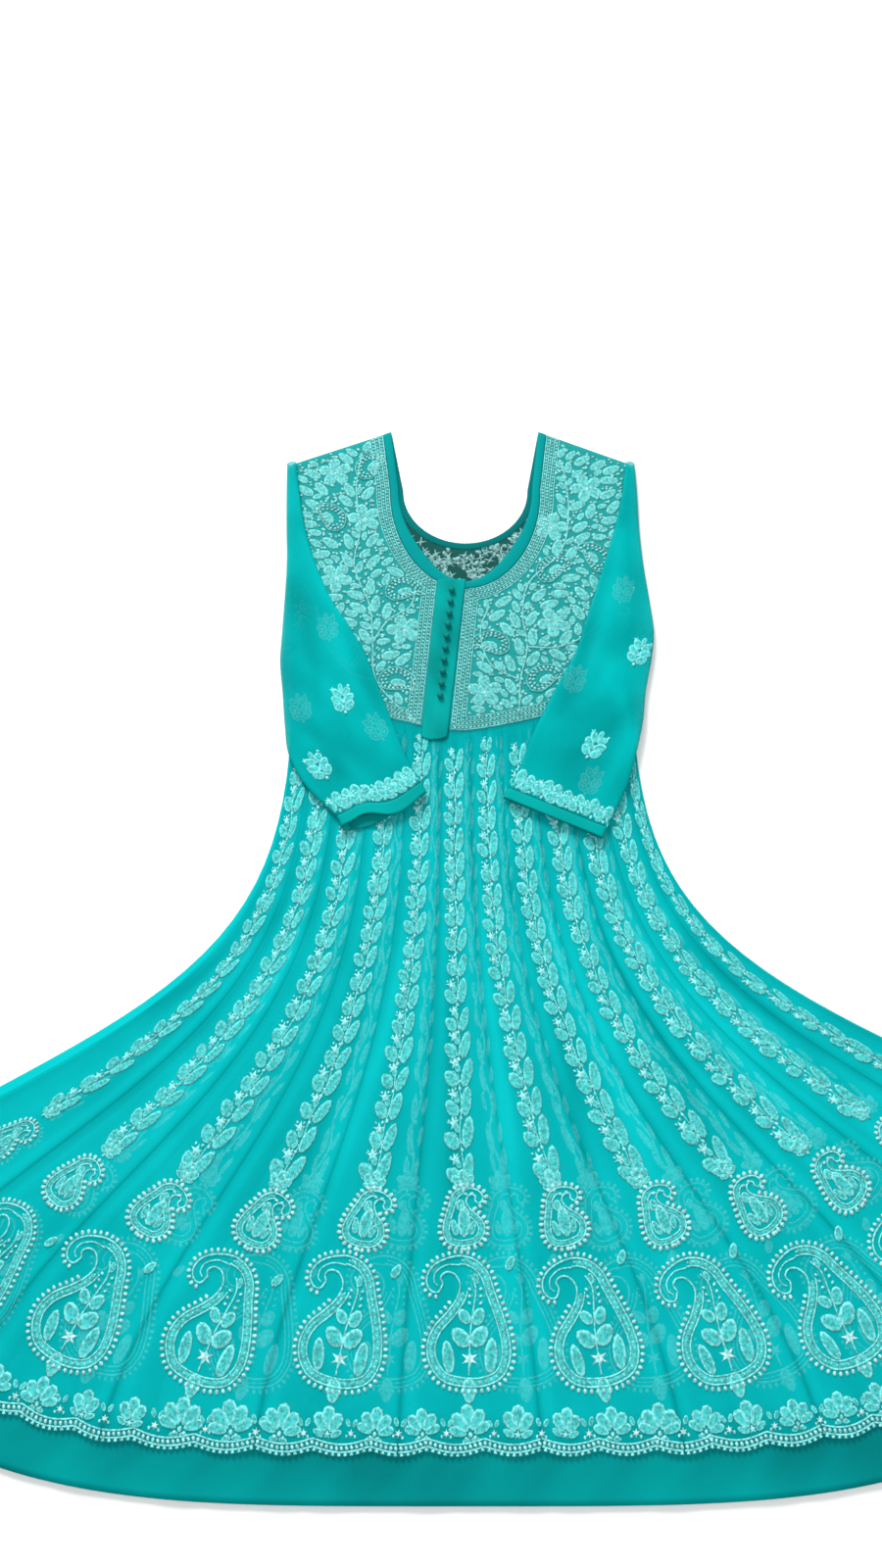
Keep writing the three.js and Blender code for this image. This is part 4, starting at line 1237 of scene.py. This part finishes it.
for number in range(KALIS):
    u = number + 0.5
    narrow = 0.62 if number in (0, KALIS - 1) else 0.85 if number in (1, KALIS - 2) else 1.0
    front = Hoop(front_kalis[max(number - 1, 0) : number + 2])
    sew_vine(front, u, SPRIGS, narrow, 1.1, 1.2)
    sew_row_end(front, u, narrow)
    sew_hem(front, number)
    front.sew(f"front_chikan_{number + 1:02d}", THREAD)
    back = Hoop(back_kalis[max(number - 1, 0) : number + 2])
    sew_vine(back, back_u(u), GHOST_SPRIGS, narrow, 2.4, 3.0)
    sew_row_end(back, back_u(u), narrow)
    back.sew(f"back_chikan_{number + 1:02d}", GHOST_THREAD, 0.3, 0.05)

# The yoke's jaal
# The whole yoke is covered by a net of flowers, paisleys and leaves so close that little ground is left.
# Rows of cord and knots edge it along the neck, both sides of the placket and the waist.
YOKE_FLOWERS = [
    (-142, 323), (-138, 186), (141, 302), (100, 251), (-63, 121), (100, 130), (24, 47), (-108, 262),
]
YOKE_PAISLEYS = [
    (-143, 262, 20), (-67, 171, -60), (-72, 61, -80), (97, 196, -30), (35, 105, 60), (84, 62, -40),
    (-120, 90, 30), (150, 90, -20), (-105, 330, -20), (150, 210, 15),
]
YOKE_STEMS = [
    [(-60, 20), (-92, 60), (-96, 105), (-100, 150), (-118, 200), (-112, 250), (-118, 300), (-112, 350)],
    [(-92, 60), (-120, 70), (-150, 110), (-158, 150)],
    [(-96, 105), (-80, 132), (-56, 150), (-50, 175)],
    [(60, 20), (62, 60), (70, 100), (66, 140), (74, 180), (110, 220), (120, 270), (116, 330)],
    [(70, 100), (104, 100), (140, 120), (160, 160)],
    [(62, 60), (30, 80), (20, 120), (30, 150)],
]
BORDER_CORDS = (1.2, 5.6, 10.4, 15.2)
BORDER_KNOTS = (3.4, 8.0, 12.8)
BORDER = 17.0
CELL = 1.0
YOKE_FIELD = {"x": (-195.0, 195.0), "y": (-5.0, 385.0)}
FILLERS = [
    (leaf(23, 11.5, 0.12), 23, 11.5, 3000),
    (leaf(17, 9.2, 0.15), 17, 9.2, 5000),
    (leaf(12.5, 7.4, 0.1, 8), 12.5, 7.4, 8000),
    (knot(7.0, 4.6, 0.9, "outline"), 7.0, 4.6, 12000),
    (knot(4.0, 3.2), 4.0, 3.2, 9000),
]
FLOWER_PETAL = leaf(18, 13, -0.3)
FLOWER = together(*[(FLOWER_PETAL, 0, 0, 72 * k, 1.08) for k in range(5)], still(star(5.6, 6)))
DIVIDE = -20  # the forms to the left of this x are on the right half of the yoke, the rest on its left half


def knotted_oval():
    """A small paisley filled with rounds of knots about a leaf, as worked on the yoke."""
    right = [(0, -16), (-9, -11), (-13, 0), (-9, 11), (1, 19)]
    left = [(11, 21), (16, 16), (12, 10), (11, 0), (8, -11), (0, -16)]
    outline = smooth_line(right + left, 4)
    parts = [still(cord(outline, 2.0, "filling")), (leaf(16, 9, 0.1), 2, -5, -14, 1)]
    middle = np.array([1.0, 2.0])
    for share, pitch in ((0.83, 4.0), (0.62, 4.4)):
        parts += row_of(KNOT, middle + share * (outline - middle), pitch, 40, 1.15)
    return together(*parts)


KNOTTED_OVAL = knotted_oval()
field_x = np.arange(*YOKE_FIELD["x"], CELL)
field_y = np.arange(*YOKE_FIELD["y"], CELL)
grid_x, grid_y = np.meshgrid(field_x, field_y)


def yoke_ground():
    """Which cells of the yoke's field the jaal may cover."""
    side = np.interp(grid_y, BODICE_EDGE["y"], BODICE_EDGE["x"]) - 3
    slope = NECK["shoulder_y"] - (np.abs(grid_x) - NECK["shoulder_half"]) * SHOULDER_SLOPE - 3
    open_ground = (np.abs(grid_x) < side) & (grid_y > waist_y(grid_x) + BORDER) & (grid_y < slope)
    reach = NECK_FRONT["band"] + BORDER
    far = ((grid_x - NECK["centre_x"]) / (NECK_FRONT["half"] + reach)) ** 2
    low = np.minimum(grid_y - NECK["centre_y"], 0) / (NECK_FRONT["depth"] + reach)
    open_ground &= far + low**2 > 1
    return open_ground & (np.abs(grid_x - opening_x(grid_y)) > PLACKET["half_top"] + BORDER)


def covers(x, y, turn, length, width, spare):
    """Window of the field round a form, and the cells that the form covers there."""
    reach = length / 2 + 3
    left, right = (int((x + d - YOKE_FIELD["x"][0]) / CELL) for d in (-reach, reach))
    low, high = (int((y + d - YOKE_FIELD["y"][0]) / CELL) for d in (-reach, reach))
    window = (slice(max(low, 0), high), slice(max(left, 0), right))
    across, along = turned(grid_x[window] - x, grid_y[window] - y, -turn)
    return window, (2 * across / (width + spare)) ** 2 + (2 * along / (length + spare)) ** 2 < 1


def take(free, *spot):
    """Takes the cells that a form covers out of the free ones."""
    window, covered = covers(*spot)
    free[window] &= ~covered


def sew_jaal(hoops, free):
    """Fills the free cells: flowers, paisleys and stems first, then ever smaller leaves and knots."""
    for x, y in YOKE_FLOWERS:
        hoops[x > DIVIDE].add(FLOWER, x, y, sprinkle.uniform(0, 72))
        take(free, x, y, 0, 33, 33, 0)
    for x, y, turn in YOKE_PAISLEYS:
        hoops[x > DIVIDE].add(KNOTTED_OVAL, x, y, turn, 1.1, flip=turn > 0)
        take(free, x, y, turn, 40, 29, 0)
    stems = [smooth_line(stem) for stem in YOKE_STEMS]
    for line in stems:
        hoops[line[0][0] > DIVIDE].add(cord(line, 2.4))
        for x, y in line:
            take(free, x, y, 0, 2, 2, 0)
    stem_places, stem_ways = np.vstack(stems), np.vstack([np.gradient(line, axis=0) for line in stems])
    for form, length, width, tries in FILLERS:
        for _ in range(tries):
            x, y = sprinkle.uniform(*YOKE_FIELD["x"]), sprinkle.uniform(*YOKE_FIELD["y"])
            nearest = np.argmin(((stem_places - [x, y]) ** 2).sum(axis=1))
            way, off = stem_ways[nearest], [x, y] - stem_places[nearest]
            side = np.sign(way[0] * off[1] - way[1] * off[0])
            lean = 28 + min(np.hypot(*off), 40) + sprinkle.gauss(0, 16)
            turn = heading(*way) + side * lean
            window, covered = covers(x, y, turn, length, width, -1.0)
            if covered.any() and free[window][covered].all():
                take(free, x, y, turn, length, width, 0)
                foot_x, foot_y = turned(0, 0 if length < 5 else -length / 2, turn)
                hoops[x > DIVIDE].add(form, x + foot_x, y + foot_y, turn)


def border_line(sign, out):
    """From the side along the waist, up the placket and round the neckline to the shoulder."""
    clear = PLACKET["half_top"] + out
    neck = neck_line(NECK_FRONT, NECK_FRONT["band"] + out)
    neck = neck[sign * (neck[:, 0] - opening_x(neck[:, 1])) > clear]
    if sign < 0:
        neck = neck[::-1]
    rise = np.linspace(out + 1, neck[0][1] - 1, 26)
    up = np.column_stack([opening_x(rise) + sign * clear, rise])
    along = sign * np.linspace(WAIST["half"] - 2, sign * up[0][0] + 2, 30)
    waist = np.column_stack([along, waist_y(along) + out + 1])
    return np.vstack([waist, up, neck])


yoke_hoops = [Hoop([piece]) for piece in front_yokes]
sew_jaal(yoke_hoops, yoke_ground())
for hoop, sign in zip(yoke_hoops, (-1, 1)):
    for out in BORDER_CORDS:
        hoop.add(cord(border_line(sign, out), 1.5))
    for out in BORDER_KNOTS:
        hoop.add_all(row_of(KNOT, border_line(sign, out), 4.2, -60, 1.05))
    hoop.sew("front_jaal_" + ("right" if sign < 0 else "left"), YOKE_THREAD)

# The back yoke's jaal shows inside the neck from its wrong side, as crossed threads without outlines.
STRAND = knot(13, 2, 0.6)
CROSSED = together((STRAND, 0, 0, 40, 1), (STRAND, 0, 0, -35, 1), (knot(8, 5, 0.5), 0, 7, 0, 1))
inside = Hoop([back_yoke])
for _ in range(2000):
    x, y = sprinkle.uniform(-180, 180), sprinkle.uniform(20, 330)
    clear = ((x - NECK["centre_x"]) / 84) ** 2 + (min(y - NECK["centre_y"], 0) / 81) ** 2 > 1
    if clear and waist_y(x) + 20 < y < 330:
        inside.add(CROSSED, x, y, sprinkle.uniform(0, 180), sprinkle.uniform(0.8, 1.3))
inside.sew("back_jaal", INSIDE_THREAD)

# The butis on the sleeves and the border of each cuff
# Single oval sprigs are scattered over the sleeves, and a close border of flowers and leaves runs round
# each end above its plain band. Those on the lower layer show through as pale ghosts.
BUTI = together(
    *pair(ROUND_LEAF, -1, -13, 40, 0.9), *pair(ROUND_LEAF, -1, -5, 44, 0.95),
    *pair(ROUND_LEAF, -1, 3, 34, 0.85), (SMALL_LEAF, 0, 9, 0, 1.0), (SMALL_STAR, -8, 13, 0, 0.8),
    (SMALL_STAR, 0, -3, 0, 0.8), (KNOT, 0, -15, 0, 1.5), (KNOT, 8, 14, 20, 1.3),
)
BUTI = (*BUTI[:2], 0.8 * BUTI[2])
BUTIS = {"right": [(-126, 33, 12), (-149, -44, 35)], "left": [(189, 90, -25), (137, -20, -32)]}
GHOSTS = {
    "right": [(-145, 123, 10), (-171, 26, 15), (-91, 3, 30)],
    "left": [(120, 60, -20), (132, -58, -25), (176, 170, -15)],
}
CUFF_SPRIG = together(
    *pair(ROUND_LEAF, -2, 1, 48, 0.95), (ROUND_LEAF, 0, 4, 0, 1.0), (STAR, -7, 12, 0, 1.0),
    (KNOT, 7, 12, 0, 1.3), (KNOT, 0, 0, 0, 1.3), (SMALL_LEAF, 4, -1, -80, 0.7),
)
CUFF_SPRIG = (*CUFF_SPRIG[:2], 0.7 * CUFF_SPRIG[2])
CUFF_SPRIGS = 8


def sew_cuff_border(hoop, stations, wave):
    inner, across, down, width = station_plan(station_at(stations, LAST_STATION))
    turn = heading(*-down)
    for number in range(CUFF_SPRIGS):
        at = 0.07 + 0.88 * number / (CUFF_SPRIGS - 1)
        drop = SLEEVE_END_WAVE * eased(at, wave, "upper") - 3
        x, y = inner + across * width * at + down * drop
        hoop.add(CUFF_SPRIG, x, y, turn + sprinkle.uniform(-14, 14), sprinkle.uniform(1.05, 1.2))


for side, piece in sleeves.items():
    upper = Hoop([piece])
    upper.add_all([(BUTI, *spot, 1.05) for spot in BUTIS[side]])
    sew_cuff_border(upper, *SLEEVES[side][:2])
    upper.sew("sleeve_chikan_" + side, THREAD)
    lower = Hoop([piece], from_above=False)
    lower.add_all([(BUTI, *spot, 1.05) for spot in GHOSTS[side]])
    lower.sew("sleeve_ghost_" + side, LOWER_THREAD)
